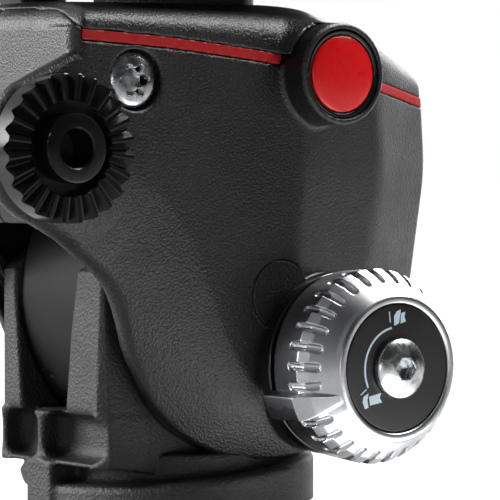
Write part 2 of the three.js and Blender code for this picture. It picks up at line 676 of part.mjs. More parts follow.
function panLockShoe() {
  const outer = -SPINDLE_RADIUS - GAP;
  const half = PAN_SHOE_WIDTH / 2;
  const top = PAN_CAVITY_TOP - GAP;
  return block(outer - PAN_SHOE_LENGTH, outer, -half, half, top - PAN_SHOE_HEIGHT, top);
}

function panLockStud() {
  const tip = -SPINDLE_RADIUS - 2 * GAP - PAN_SHOE_LENGTH;
  const tail = -PAN_LOCK_BOSS_END - PAN_KNOB_LENGTH / 2;
  return rod(PAN_STUD_RADIUS, tail, tip, 'x', FINE_ROUND_SIDES, [0, 0, PAN_LOCK_HEIGHT]);
}

function flutedKnob(radius, length, flutes, fluteRadius, edge, bore, boreDepth) {
  const body = turned([
    [0, 0],
    [radius - edge, 0],
    [radius, edge],
    [radius, length - edge],
    [radius - edge, length],
    [0, length],
  ], 'x', GRIP_SIDES);
  const grooves = Array.from({ length: flutes }, (_, i) => {
    const angle = (2 * Math.PI * i) / flutes;
    const out = radius + fluteRadius / 2;
    return rod(fluteRadius, edge + OVERRUN, length + 2 * OVERRUN, 'x', FINE_ROUND_SIDES,
      [0, out * Math.cos(angle), out * Math.sin(angle)]);
  });
  return cut(body, ...grooves, rod(bore, -OVERRUN, boreDepth, 'x', FINE_ROUND_SIDES));
}

function panLockKnob() {
  const knob = flutedKnob(PAN_KNOB_RADIUS, PAN_KNOB_LENGTH, PAN_KNOB_FLUTES, PAN_KNOB_FLUTE_RADIUS,
    PAN_KNOB_EDGE, PAN_STUD_RADIUS + GAP, PAN_KNOB_LENGTH / 2 + GAP);
  return mirrored(knob).translate([-PAN_LOCK_BOSS_END - RUNNING_GAP, 0, PAN_LOCK_HEIGHT]);
}

// Tilt bearing

const tiltAxle = () => ring(AXLE_BORE_RADIUS, AXLE_RADIUS, -FORK_LEFT + GAP, FORK_RIGHT - GAP,
  'x', SMALL_ROUND_SIDES, tiltCentre);

const tiltWasher = (side) => {
  const inner = hubReach(side) + GAP;
  const outer = inner + TILT_WASHER_THICKNESS;
  const plain = ring(AXLE_RADIUS + GAP, TILT_WASHER_RADIUS, inner, outer, 'x', SMALL_ROUND_SIDES, tiltCentre);
  return side > 0 ? plain : mirrored(plain);
};

function axleScrew(side) {
  const seat = forkReach(side) + GAP;
  const screw = join(
    turned([
      [0, seat],
      [AXLE_SCREW_HEAD_RADIUS, seat],
      [AXLE_SCREW_HEAD_RADIUS, seat + AXLE_SCREW_HEAD_HEIGHT / 2],
      [AXLE_SCREW_HEAD_RADIUS / 2, seat + AXLE_SCREW_HEAD_HEIGHT],
      [0, seat + AXLE_SCREW_HEAD_HEIGHT],
    ], 'x', SMALL_ROUND_SIDES, tiltCentre),
    rod(AXLE_BORE_RADIUS - GAP, seat - AXLE_SCREW_SHANK_LENGTH, seat + OVERRUN, 'x', FINE_ROUND_SIDES, tiltCentre),
  );
  return side > 0 ? screw : mirrored(screw);
}

const tiltCartridge = () => ring(AXLE_RADIUS + GAP, CARTRIDGE_RADIUS, -hubReach(-1) + GAP, hubReach(1) - GAP,
  'x', SMALL_ROUND_SIDES, tiltCentre);

// A slanted tick sunk in the drum's face, read against the fork
function drumMark() {
  const angle = THREE.MathUtils.degToRad(DRUM_MARK_ANGLE_DEG);
  const halfLength = DRUM_MARK_LENGTH / 2;
  const halfWidth = DRUM_MARK_WIDTH / 2;
  return block(-halfLength, halfLength, -DRUM_MARK_DEPTH, DRUM_MARK_DEPTH, -halfWidth, halfWidth)
    .rotate([0, DRUM_MARK_SLANT_DEG, 0])
    .rotate([DRUM_MARK_ANGLE_DEG - 180, 0, 0])
    .translate([-DRUM_LEFT + DRUM_MARK_FROM_EDGE, TILT_Y + DRUM_RADIUS * Math.cos(angle),
      TILT_Z + DRUM_RADIUS * Math.sin(angle)]);
}

// Room in the neck for the fork's ear on one side
function earRoom(side) {
  const room = rod(FORK_EAR_SWEEP_RADIUS, drumReach(side), forkReach(side) + OVERRUN, 'x', ROUND_SIDES, tiltCentre);
  return side > 0 ? room : mirrored(room);
}

function tiltFrame() {
  const rim = DRUM_RADIUS - DRUM_RIM_THICKNESS;
  const face = (side) => [
    [CARTRIDGE_RADIUS + GAP, side * hubReach(side)],
    [rim - DRUM_RIM_THICKNESS, side * hubReach(side)],
    [rim, side * drumReach(side)],
    [DRUM_RADIUS, side * drumReach(side)],
  ];
  const drum = turned([...face(-1), ...face(1).reverse()], 'x', DRUM_SIDES, tiltCentre);
  const neck = block(-NECK_HALF_WIDTH, NECK_HALF_WIDTH, TILT_Y - NECK_REAR, TILT_Y + NECK_FRONT,
    NECK_BOTTOM, NECK_TOP);
  const neckRoot = block(-DRUM_LEFT, DRUM_RIGHT, TILT_Y - NECK_REAR, TILT_Y + NECK_FRONT,
    TILT_Z + rim, NECK_BOTTOM + OVERRUN);
  return cut(join(drum, neck, neckRoot), earRoom(1), earRoom(-1), drumMark());
}

// Head form

const noseLean = (z) => (z < NOSE_SPLIT_Z
  ? -(NOSE_SPLIT_Z - z) * NOSE_LEAN_BELOW_SHARE
  : -(z - NOSE_SPLIT_Z) * NOSE_LEAN_ABOVE_SHARE);

// The plan outline at height z, drawn in by inset all round.
function planLoop(z, inset) {
  const lean = noseLean(z);
  const corner = HEAD_REAR_CORNER;
  const halfWidth = HEAD_HALF_WIDTH - inset;
  const rear = -HEAD_REAR + inset;
  const right = [
    [halfWidth - corner, rear],
    [halfWidth - corner * BEVEL_SHARE, rear + corner * BEVEL_SHARE],
    [halfWidth, rear + corner],
    [halfWidth, SIDE_CREASE_Y + lean / 2],
    [FACET_CREASE_X - inset / 2, FACET_CREASE_Y + lean - inset / 2],
    [NOSE_HALF_WIDTH - inset / 2, NOSE_Y + lean - inset],
  ];
  const left = right.map(([x, y]) => [-x, y]).reverse();
  return [...right, ...left].map(([x, y]) => new THREE.Vector3(x, y, z));
}

function planForm(bottom, top, inset) {
  const middle = Math.min(Math.max(NOSE_SPLIT_Z, bottom + OVERRUN), top - OVERRUN);
  return loft([bottom, middle, top].map((z) => planLoop(z, inset)));
}

// The side outline of the shells: the arc round the tilt axis, the nose, the top and the tail.
function shellOutline(inset) {
  const radius = SHELL_ARC_RADIUS - inset;
  const front = arc(TILT_Y, TILT_Z, radius, SHELL_ARC_FROM_DEG, SHELL_ARC_TO_DEG, ARC_STEPS);
  const shifted = (y, z) => [y + inset, z + inset];
  return [
    ...front,
    [FACET_CREASE_Y, NOSE_BOTTOM + inset],
    [NOSE_Y + OVERRUN, NOSE_BOTTOM + OVERRUN + inset],
    [NOSE_Y + OVERRUN, OPEN_END],
    [-HEAD_REAR - OVERRUN, OPEN_END],
    shifted(-HEAD_REAR - OVERRUN, EAR_Z - EAR_RADIUS / 2),
    shifted(-HEAD_REAR + EAR_RADIUS / 4, EAR_Z - EAR_RADIUS - OVERRUN),
    shifted(TAIL_KNEE_Y, TAIL_KNEE_Z),
    shifted(TAIL_FOOT_Y, TAIL_FOOT_Z),
  ];
}

function scoop(inset) {
  const reach = 2 * HEAD_HALF_WIDTH;
  const loops = SCOOP_SHARES.map(({ back, up, alongBack, alongUp, fall }) => {
    const y = TILT_Y + back * DRUM_RADIUS;
    const z = TILT_Z + up * DRUM_RADIUS;
    const farY = y + 2 * alongBack * DRUM_RADIUS;
    const farZ = z + 2 * alongUp * DRUM_RADIUS;
    const lowX = HEAD_HALF_WIDTH - inset - 2 * fall * DRUM_RADIUS;
    const start = HEAD_HALF_WIDTH - inset + (fall > 0 ? SCOOP_START_PROUD : OVERRUN);
    return [
      new THREE.Vector3(start, y, z),
      new THREE.Vector3(lowX, farY, farZ),
      new THREE.Vector3(reach, farY, farZ),
      new THREE.Vector3(reach, y, z),
    ];
  });
  return loft(loops);
}

function headForm(inset, side) {
  const plan = planForm(HEAD_FORM_BOTTOM, HEAD_FORM_TOP, inset);
  const profile = sidePlate(shellOutline(inset), -HEAD_HALF_WIDTH - OVERRUN, HEAD_HALF_WIDTH + OVERRUN);
  const flank = scoop(inset);
  const body = inset > 0 ? common(plan, profile) : join(common(plan, profile), ear(side));
  return cut(body, flank, mirrored(flank));
}

// Everything above the stripe's lower edge, for cutting the shells off under the hood.
function aboveLine(line, lift) {
  const outline = line.map(({ y, z }) => [y, z + lift]);
  return sidePlate([
    [-OPEN_END, line[0].z + lift],
    ...outline,
    [OPEN_END, line.at(-1).z + lift],
    [OPEN_END, 2 * OPEN_END],
    [-OPEN_END, 2 * OPEN_END],
  ], -OPEN_END, OPEN_END);
}

// An ear carries a rosette: it leaves the rear edge at a slant and runs down into the tail of the shell.
function ear(side) {
  const outline = (draw) => [
    [-HEAD_REAR + EAR_EDGE, EAR_Z + EAR_TOP_RISE - draw],
    ...arc(EAR_Y, EAR_Z, EAR_RADIUS - draw, EAR_ARC_FROM_DEG, EAR_ARC_TO_DEG, ARC_STEPS),
    [TAIL_KNEE_Y - EAR_HEEL_BACK + draw, TAIL_KNEE_Z + EAR_HEEL_RISE + draw],
    [TAIL_KNEE_Y + draw, TAIL_KNEE_Z + draw],
    [TAIL_KNEE_Y + EAR_ROOT, TAIL_KNEE_Z + draw],
    [TAIL_KNEE_Y + EAR_ROOT, EAR_Z + EAR_TOP_RISE - draw],
  ];
  const at = (x, draw) => outline(draw).map(([y, z]) => new THREE.Vector3(x, y, z));
  return loft([
    at(roomReach(side), 0),
    at(EAR_OUTER - EAR_EDGE, 0),
    at(EAR_OUTER - EAR_EDGE * BEVEL_SHARE, EAR_EDGE * BEVEL_SHARE),
    at(EAR_OUTER, EAR_EDGE),
  ]);
}

function badgeBoss() {
  const root = HEAD_HALF_WIDTH - BADGE_BOSS_ROOT_DEPTH;
  return turned([
    [0, root],
    [BADGE_BOSS_RADIUS + 2 * BADGE_BOSS_FLARE, root],
    [BADGE_BOSS_RADIUS + BADGE_BOSS_FLARE * BADGE_BOSS_MID_FLARE_SHARE, HEAD_HALF_WIDTH + BADGE_BOSS_FLARE],
    [BADGE_BOSS_RADIUS, HEAD_HALF_WIDTH + 3 * BADGE_BOSS_FLARE],
    [BADGE_BOSS_RADIUS, BADGE_BOSS_END - BASE_EDGE],
    [BADGE_BOSS_RADIUS - BASE_EDGE, BADGE_BOSS_END],
    [0, BADGE_BOSS_END],
  ], 'x', ROUND_SIDES, [0, BADGE_Y, BADGE_Z]);
}

const knobCentre = [0, KNOB_Y, KNOB_Z];
const screwCentre = [0, SHELL_SCREW_Y, SHELL_SCREW_Z];

// Room between the shells: the drum's all round, and the fork's sweep at the rear.
function shellRoom(side) {
  const reach = roomReach(side);
  const drumRoom = rod(DRUM_RADIUS + 2 * GAP, 0, reach, 'x', DRUM_SIDES, tiltCentre);
  const sweep = rod(FORK_SWEEP_RADIUS, 0, reach, 'x', DRUM_SIDES, tiltCentre);
  const rearHalf = block(-OVERRUN, reach + OVERRUN, -OPEN_END, TILT_Y, 0, OPEN_END);
  return join(drumRoom, common(sweep, rearHalf));
}

function wholeShell(side) {
  const stripeTop = aboveLine(STRIPE_LINE, -STRIPE_GAP);
  const form = headForm(0, side);
  const walls = cut(form, headForm(SHELL_WALL, side), shellRoom(side));
  const inside = roomReach(side);
  const bossRoot = inside + AXLE_SCREW_HEAD_HEIGHT + 2 * GAP;
  const screwBoss = rod(SHELL_SCREW_BOSS_RADIUS, inside, HEAD_HALF_WIDTH, 'x', SMALL_ROUND_SIDES, screwCentre);
  const capBoss = rod(CAP_BOSS_RADIUS, bossRoot, HEAD_HALF_WIDTH - OVERRUN, 'x', SMALL_ROUND_SIDES, tiltCentre);
  let body = join(walls, common(screwBoss, form), common(capBoss, form));
  if (side > 0) {
    const knobBoss = rod(KNOB_BOSS_RADIUS, inside + GAP, COLLAR_BACK - GAP, 'x', ROUND_SIDES, knobCentre);
    const withinArc = rod(SHELL_ARC_RADIUS, 0, OPEN_END, 'x', DRUM_SIDES, tiltCentre);
    body = join(body, common(knobBoss, withinArc));
  }
  body = join(cut(body, stripeTop), badgeBoss());
  const tools = [
    block(-OPEN_END, GAP / 2, -OPEN_END, OPEN_END, -OPEN_END, OPEN_END),
    rod(SHELL_SCREW_RECESS_RADIUS, HEAD_HALF_WIDTH - SHELL_SCREW_RECESS_DEPTH, HEAD_HALF_WIDTH + OVERRUN, 'x',
      SMALL_ROUND_SIDES, screwCentre),
    rod(SHELL_SCREW_SHANK_RADIUS + GAP, 0, HEAD_HALF_WIDTH, 'x', FINE_ROUND_SIDES, screwCentre),
    rod(CAP_RADIUS + GAP / 2, HEAD_HALF_WIDTH - CAP_THICKNESS - GAP, HEAD_HALF_WIDTH + OVERRUN, 'x',
      SMALL_ROUND_SIDES, tiltCentre),
    rod(ROSETTE_SPIGOT_RADIUS + GAP, EAR_OUTER - ROSETTE_SPIGOT_LENGTH - GAP, EAR_OUTER + OVERRUN, 'x',
      SMALL_ROUND_SIDES, [0, EAR_Y, EAR_Z]),
    rod(BADGE_SEAT_RADIUS, BADGE_BOSS_END - BADGE_SEAT_DEPTH, BADGE_BOSS_END + OVERRUN, 'x',
      ROUND_SIDES, [0, BADGE_Y, BADGE_Z]),
    rod(AXLE_SCREW_HEAD_RADIUS + GAP, 0, bossRoot - GAP, 'x', SMALL_ROUND_SIDES, tiltCentre),
  ];
  if (side > 0) {
    tools.push(rod(KNOB_STUD_RADIUS + GAP, 0, OPEN_END, 'x', FINE_ROUND_SIDES, knobCentre));
    tools.push(rod(TILT_SHOE_RADIUS + GAP, 0, inside + TILT_SHOE_THICKNESS + GAP, 'x',
      SMALL_ROUND_SIDES, knobCentre));
  }
  return cut(body, ...tools);
}

function shell(side) {
  const right = cut(wholeShell(side), stripeGroove());
  return side > 0 ? right : mirrored(right);
}

// Stripe: a thin band in a rebate along the shells' upper edge

function stripeBand(heightFrom, heightTo, depthFrom, depthTo) {
  const below = aboveLine(STRIPE_LINE, heightTo);
  const from = aboveLine(STRIPE_LINE, heightFrom);
  const outer = planForm(NOSE_BOTTOM, OPEN_END, depthFrom);
  const inner = planForm(NOSE_BOTTOM, OPEN_END, depthTo);
  return cut(common(outer, from), below, inner);
}

const stripeGroove = () => stripeBand(-STRIPE_HEIGHT - 2 * STRIPE_GAP - GAP, GAP, -OVERRUN, STRIPE_DEPTH + GAP);

function stripePiece(where) {
  const band = stripeBand(-STRIPE_HEIGHT - STRIPE_GAP - GAP, -STRIPE_GAP - GAP, 0, STRIPE_DEPTH);
  const bossRoom = rod(BADGE_BOSS_RADIUS + 2 * BADGE_BOSS_FLARE + GAP, 0, OPEN_END, 'x', ROUND_SIDES,
    [0, BADGE_Y, BADGE_Z]);
  const bossRoomLeft = mirrored(bossRoom);
  if (where === 'front') {
    const rearPart = block(-OPEN_END, OPEN_END, -OPEN_END, BADGE_Y, 0, OPEN_END);
    return cut(band, rearPart, bossRoom, bossRoomLeft);
  }
  const others = block(-OPEN_END, HEAD_HALF_WIDTH - SHELL_WALL, -OPEN_END, OPEN_END, 0, OPEN_END);
  const frontPart = block(-OPEN_END, OPEN_END, BADGE_Y, OPEN_END, 0, OPEN_END);
  const right = cut(band, others, frontPart, bossRoom);
  return where > 0 ? right : mirrored(right);
}

// Hood: arches between the stripe line and the roof line

function hoodHalfWidth(y) {
  const lean = noseLean(heightOn(STRIPE_LINE, y));
  const crease = SIDE_CREASE_Y + lean / 2;
  const facet = FACET_CREASE_Y + lean;
  const nose = NOSE_Y + lean;
  if (y <= crease) return HEAD_HALF_WIDTH;
  if (y <= facet) {
    return HEAD_HALF_WIDTH - ((HEAD_HALF_WIDTH - FACET_CREASE_X) * (y - crease)) / (facet - crease);
  }
  return FACET_CREASE_X - ((FACET_CREASE_X - NOSE_HALF_WIDTH) * (y - facet)) / (nose - facet);
}

function hoodLoop(y, inset, squeeze, steps) {
  const base = heightOn(STRIPE_LINE, y) + GAP / 2 - (inset > 0 ? OVERRUN : 0);
  const halfWidth = Math.max(hoodHalfWidth(y) - inset - squeeze, OVERRUN);
  const rise = heightOn(ROOF_LINE, y) - heightOn(STRIPE_LINE, y) - inset - squeeze;
  return Array.from({ length: steps + 1 }, (_, i) => {
    const angle = (Math.PI * i) / steps;
    const across = Math.cos(angle);
    const up = Math.sin(angle);
    const x = halfWidth * Math.sign(across) * Math.abs(across) ** HOOD_ARCH_POWER;
    const z = base + rise * up ** HOOD_ARCH_POWER;
    const rake = ((z - base) / (rise + OVERRUN)) ** 2 * HOOD_REAR_RAKE;
    const pulled = y < -HEAD_REAR + HEAD_REAR_CORNER ? rake : 0;
    return new THREE.Vector3(x, y + pulled, i === 0 || i === steps ? base : z);
  });
}

function hoodBody(inset, steps) {
  const noseEnd = NOSE_Y + noseLean(heightOn(STRIPE_LINE, NOSE_Y));
  const crease = SIDE_CREASE_Y + noseLean(heightOn(STRIPE_LINE, SIDE_CREASE_Y)) / 2;
  const facet = FACET_CREASE_Y + noseLean(heightOn(STRIPE_LINE, FACET_CREASE_Y));
  const rear = -HEAD_REAR + inset;
  const corner = HEAD_REAR_CORNER;
  const stations = [
    ...HOOD_END_SHARES.map(({ run, squeeze }) => ({ y: rear + corner * run, squeeze: corner * squeeze })),
    { y: -HEAD_REAR / 2, squeeze: 0 },
    { y: 0, squeeze: 0 },
    { y: crease, squeeze: 0 },
    { y: (crease + facet) / 2, squeeze: 0 },
    { y: facet, squeeze: 0 },
    { y: (facet + noseEnd) / 2, squeeze: 0 },
    { y: noseEnd - inset, squeeze: 0 },
  ];
  return loft(stations.map(({ y, squeeze }) => hoodLoop(y, inset, squeeze, steps)));
}

function topHood() {
  const solid = hoodBody(0, HOOD_ARCH_STEPS);
  const inner = hoodBody(HOOD_WALL, HOOD_ROOM_STEPS);
  const bossRoom = rod(BADGE_BOSS_RADIUS + 2 * BADGE_BOSS_FLARE + GAP, 0, OPEN_END, 'x', ROUND_SIDES,
    [0, BADGE_Y, BADGE_Z]);
  const hollow = common(inner, block(-OPEN_END, OPEN_END, -OPEN_END, OPEN_END, 0, OPEN_END));
  const neckRoom = rod(PLATFORM_NECK_RADIUS + GAP, 0, OPEN_END, 'z', ROUND_SIDES, [0, platformY(), 0]);
  return cut(solid, hollow, bossRoom, mirrored(bossRoom), neckRoom);
}

const platformY = () => (PLATFORM_REAR + PLATFORM_FRONT) / 2 + TILT_Y / 2;

// Rosettes: radial teeth round a recess and a hub

function rosette(side) {
  const back = EAR_OUTER + GAP;
  const valley = back + ROSETTE_BACK_THICKNESS;
  const tip = valley + ROSETTE_TOOTH_HEIGHT;
  const count = 2 * ROSETTE_TEETH;
  const crown = (radius, heightOf) => Array.from({ length: count }, (_, i) => {
    const angle = (2 * Math.PI * i) / count;
    return new THREE.Vector3(heightOf(i % 2 === 0), radius * Math.cos(angle), radius * Math.sin(angle));
  });
  const floor = valley - ROSETTE_RECESS_DEPTH + ROSETTE_TOOTH_FALL;
  const toothed = loft([
    crown(ROSETTE_RADIUS, () => back),
    crown(ROSETTE_RADIUS, (isTip) => (isTip ? tip : valley)),
    crown(ROSETTE_RECESS_RADIUS, (isTip) => (isTip ? tip : valley + ROSETTE_TOOTH_FALL)),
    crown(ROSETTE_RECESS_RADIUS - GAP, () => floor),
  ]);
  const hubEnd = tip + ROSETTE_HUB_PROUD;
  const hub = turned([
    [0, back],
    [ROSETTE_HUB_RADIUS, back],
    [ROSETTE_HUB_RADIUS, hubEnd - ROSETTE_HUB_EDGE],
    [ROSETTE_HUB_RADIUS - ROSETTE_HUB_EDGE, hubEnd],
    [0, hubEnd],
  ], 'x', ROSETTE_TEETH);
  const spigot = rod(ROSETTE_SPIGOT_RADIUS, EAR_OUTER - ROSETTE_SPIGOT_LENGTH, back + OVERRUN, 'x',
    SMALL_ROUND_SIDES);
  const bore = rod(ROSETTE_BORE_RADIUS, 0, hubEnd + OVERRUN, 'x', SMALL_ROUND_SIDES);
  const whole = cut(join(toothed, hub, spigot), bore).translate([0, EAR_Y, EAR_Z]);
  return side > 0 ? whole : mirrored(whole);
}

// Badges, screws and caps

function badgeBezel(side) {
  const floor = BADGE_BOSS_END - BADGE_SEAT_DEPTH + GAP;
  const outer = BADGE_SEAT_RADIUS - GAP;
  const bezel = turned([
    [BADGE_RADIUS + GAP, floor + BADGE_BEZEL_THICKNESS + GAP],
    [BADGE_RADIUS + GAP, BADGE_BOSS_END - BASE_EDGE],
    [outer, BADGE_BOSS_END - BASE_EDGE / 2],
    [outer, floor],
    [0, floor],
    [0, floor + BADGE_BEZEL_THICKNESS + GAP],
  ], 'x', ROUND_SIDES, [0, BADGE_Y, BADGE_Z]);
  return side > 0 ? bezel : mirrored(bezel);
}

function badgeDome(side) {
  const floor = BADGE_BOSS_END - BADGE_SEAT_DEPTH + BADGE_BEZEL_THICKNESS + 3 * GAP;
  const edge = BADGE_BOSS_END - BASE_EDGE;
  const crown = Array.from({ length: BADGE_CROWN_STEPS + 1 }, (_, i) => {
    const angle = (Math.PI / 2) * (i / BADGE_CROWN_STEPS);
    const radius = i < BADGE_CROWN_STEPS ? BADGE_RADIUS * Math.cos(angle) : 0;
    return [radius, edge + BADGE_CROWN * Math.sin(angle)];
  });
  const dome = turned([[0, floor], [BADGE_RADIUS, floor], ...crown], 'x', ROUND_SIDES, [0, BADGE_Y, BADGE_Z]);
  return side > 0 ? dome : mirrored(dome);
}

function starSocket(radius, from, to, place) {
  const count = SOCKET_LOBES * SOCKET_LOBE_POINTS;
  const points = Array.from({ length: count }, (_, i) => {
    const angle = (2 * Math.PI * i) / count;
    const reach = radius * (1 + SOCKET_LOBE_SHARE * Math.cos(SOCKET_LOBES * angle));
    return [place[1] + reach * Math.cos(angle), place[2] + reach * Math.sin(angle)];
  });
  return sidePlate(points, from, to);
}

// A screw's round head, with its crown given as shares of its radius and height.
function roundHead(radius, seat, height, crown, place) {
  const rim = crown.map((share) => [radius * share.radius, seat + height * share.height]);
  return turned([[0, seat], [radius, seat], ...rim, [0, seat + height]], 'x', SMALL_ROUND_SIDES, place);
}

function shellScrew(side) {
  const seat = HEAD_HALF_WIDTH - SHELL_SCREW_RECESS_DEPTH + GAP;
  const top = seat + SHELL_SCREW_HEAD_HEIGHT;
  const head = roundHead(SHELL_SCREW_HEAD_RADIUS, seat, SHELL_SCREW_HEAD_HEIGHT, SHELL_SCREW_CROWN_SHARES,
    screwCentre);
  const shank = rod(SHELL_SCREW_SHANK_RADIUS, seat - SHELL_SCREW_SHANK_LENGTH, seat + OVERRUN, 'x',
    FINE_ROUND_SIDES, screwCentre);
  const socket = starSocket(SHELL_SCREW_DRIVE_RADIUS, seat + GAP, top + OVERRUN, screwCentre);
  const screw = cut(join(head, shank), socket);
  return side > 0 ? screw : mirrored(screw);
}

function axleCap(side) {
  const plug = rod(CAP_RADIUS, HEAD_HALF_WIDTH - CAP_THICKNESS, HEAD_HALF_WIDTH + OVERRUN, 'x',
    SMALL_ROUND_SIDES, tiltCentre);
  const cap = common(plug, headForm(0, side));
  return side > 0 ? cap : mirrored(cap);
}

// Tilt lock knob

function knobRing() {
  const floor = KNOB_FACE - KNOB_RECESS_DEPTH;
  const body = turned([
    [0, KNOB_BACK],
    [KNOB_BACK_RADIUS, KNOB_BACK],
    [KNOB_SHOULDER_RADIUS, KNOB_SHOULDER],
    [KNOB_BEZEL_RADIUS + KNOB_BEZEL_EDGE, KNOB_FACE - KNOB_BEZEL_FALL],
    [KNOB_BEZEL_RADIUS - KNOB_BEZEL_EDGE / 2, KNOB_FACE],
    [KNOB_RECESS_RADIUS, KNOB_FACE - KNOB_BEZEL_EDGE],
    [KNOB_RECESS_RADIUS, floor],
    [0, floor],
  ], 'x', 2 * KNOB_POSITIONS);
  const lugAngle = THREE.MathUtils.degToRad(KNOB_LUG_ANGLE_DEG);
  const lugHalf = THREE.MathUtils.degToRad(KNOB_LUG_HALF_ANGLE_DEG);
  const lug = loft(KNOB_LUG_STEPS.map(({ x, outer, widthShare }) => {
    const point = (angle, radius) => new THREE.Vector3(x, radius * Math.cos(angle), radius * Math.sin(angle));
    const spread = lugHalf * widthShare;
    const inner = Math.min(KNOB_BACK_RADIUS - KNOB_LUG_ROOT_DEPTH, outer - OVERRUN);
    return [
      point(lugAngle - spread * KNOB_LUG_SPREAD_SHARE, inner),
      point(lugAngle - spread, outer),
      point(lugAngle + spread, outer),
      point(lugAngle + spread * KNOB_LUG_SPREAD_SHARE, inner),
    ];
  }));
  const notches = [];
  for (let i = 1; i < KNOB_POSITIONS; i += 1) {
    const angle = lugAngle + (2 * Math.PI * i) / KNOB_POSITIONS;
    notches.push(knobNotch(angle));
  }
  const bore = rod(KNOB_STUD_RADIUS + GAP, KNOB_BACK - OVERRUN, KNOB_FACE, 'x', FINE_ROUND_SIDES);
  const collarRoom = rod(COLLAR_RADIUS + RUNNING_GAP, 0, KNOB_BACK, 'x', ROUND_SIDES);
  return cut(join(cut(body, ...notches), cut(lug, collarRoom)), bore).translate(knobCentre);
}

// A notch is a slot sunk across the knob's shoulder, narrower at its front end.
function knobNotch(angle) {
  const half = KNOB_NOTCH_WIDTH / 2;
  const from = KNOB_SHOULDER - KNOB_NOTCH_LENGTH * KNOB_NOTCH_BACK_SHARE;
  const to = from + KNOB_NOTCH_LENGTH;
  const slotFloor = KNOB_SHOULDER_RADIUS - KNOB_NOTCH_DEPTH;
  const frontHalf = half * KNOB_NOTCH_FRONT_SHARE;
  const outline = [[from, -half], [to, -frontHalf], [to, frontHalf], [from, half]];
  const loopAt = (lift) => outline.map(([x, across]) => {
    const share = (x - from) / (to - from);
    const drop = lift > 0 ? 0 : KNOB_NOTCH_FRONT_DROP * share * share;
    const radius = slotFloor + lift - drop;
    return new THREE.Vector3(x, radius * Math.cos(angle) - across * Math.sin(angle),
      radius * Math.sin(angle) + across * Math.cos(angle));
  });
  return loft([loopAt(0), loopAt(KNOB_LUG_REACH + KNOB_NOTCH_DEPTH)]);
}

function knobDisc() {
  const back = KNOB_FACE - KNOB_RECESS_DEPTH + GAP;
  return ring(KNOB_STUD_RADIUS + GAP, KNOB_RECESS_RADIUS - GAP, back, back + KNOB_DISC_THICKNESS - GAP, 'x',
    ROUND_SIDES, knobCentre);
}

function knobScrew() {
  const seat = KNOB_FACE - KNOB_RECESS_DEPTH + KNOB_DISC_THICKNESS + GAP;
  const top = seat + KNOB_SCREW_HEAD_HEIGHT;
  const head = roundHead(KNOB_SCREW_HEAD_RADIUS, seat, KNOB_SCREW_HEAD_HEIGHT, KNOB_SCREW_CROWN_SHARES, knobCentre);
  const socket = rod(KNOB_SCREW_SOCKET_RADIUS, seat + GAP, top + OVERRUN, 'x', HEXAGON_SIDES, knobCentre);
  const tip = roomReach(1) + TILT_SHOE_THICKNESS + GAP;
  const stud = rod(KNOB_STUD_RADIUS, tip, seat + GAP / 2, 'x', FINE_ROUND_SIDES, knobCentre);
  return cut(join(head, stud), socket);
}

function lockCollar() {
  return turned([
    [KNOB_STUD_RADIUS + GAP, COLLAR_BACK],
    [COLLAR_RADIUS - COLLAR_EDGE, COLLAR_BACK],
    [COLLAR_RADIUS, COLLAR_BACK + COLLAR_EDGE],
    [COLLAR_RADIUS, COLLAR_FRONT],
    [COLLAR_STEP_RADIUS, COLLAR_FRONT],
    [COLLAR_STEP_RADIUS, KNOB_BACK - RUNNING_GAP],
    [KNOB_STUD_RADIUS + GAP, KNOB_BACK - RUNNING_GAP],
  ], 'x', ROUND_SIDES, knobCentre);
}

function tiltShoe() {
  const from = FORK_RIGHT + RUNNING_GAP;
  return rod(TILT_SHOE_RADIUS, from, roomReach(1) + TILT_SHOE_THICKNESS - GAP, 'x', SMALL_ROUND_SIDES, knobCentre);
}

// Platform and release plate

const platformTop = PLATFORM_BOTTOM + PLATFORM_THICKNESS;

function platform() {
  const y = platformY();
  const slab = block(-PLATFORM_HALF_WIDTH, PLATFORM_HALF_WIDTH, PLATFORM_REAR, PLATFORM_FRONT,
    PLATFORM_BOTTOM, platformTop);
  const neck = rod(PLATFORM_NECK_RADIUS, NECK_TOP + GAP, PLATFORM_BOTTOM + OVERRUN, 'z', ROUND_SIDES, [0, y, 0]);
  const rail = railSolid(1);
  const middle = platformTop - PLATFORM_THICKNESS / 2;
  const jawHalf = CLAMP_JAW_LENGTH / 2 + GAP;
  const jawRoom = block(-OPEN_END, -CHANNEL_HALF_WIDTH + RAIL_SLOPE + OVERRUN,
    CLAMP_KNOB_Y - jawHalf, CLAMP_KNOB_Y + jawHalf, platformTop, OPEN_END);
  const leftRail = mirrored(railSolid(1));
  const screwBore = rod(CLAMP_SCREW_RADIUS + GAP, -OPEN_END, 0, 'x', FINE_ROUND_SIDES, [0, CLAMP_KNOB_Y, middle]);
  const buttonEnd = -PLATFORM_HALF_WIDTH + BUTTON_DEPTH + BUTTON_TRAVEL + GAP;
  const buttonBore = rod(BUTTON_RADIUS + GAP, -OPEN_END, buttonEnd, 'x', FINE_ROUND_SIDES, [0, BUTTON_Y, middle]);
  const levelPlace = [0, LEVEL_Y, 0];
  const levelSeat = rod(LEVEL_RADIUS + GAP, platformTop - LEVEL_DEPTH, OPEN_END, 'z', SMALL_ROUND_SIDES, levelPlace);
  const levelTab = join(
    rod(LEVEL_TAB_RADIUS, PLATFORM_BOTTOM, platformTop, 'z', SMALL_ROUND_SIDES, levelPlace),
    block(-LEVEL_TAB_RADIUS, LEVEL_TAB_RADIUS, LEVEL_Y, PLATFORM_REAR + OVERRUN, PLATFORM_BOTTOM, platformTop),
  );
  return cut(join(slab, levelTab, neck, rail, cut(leftRail, jawRoom)), buttonBore, levelSeat, screwBore);
}

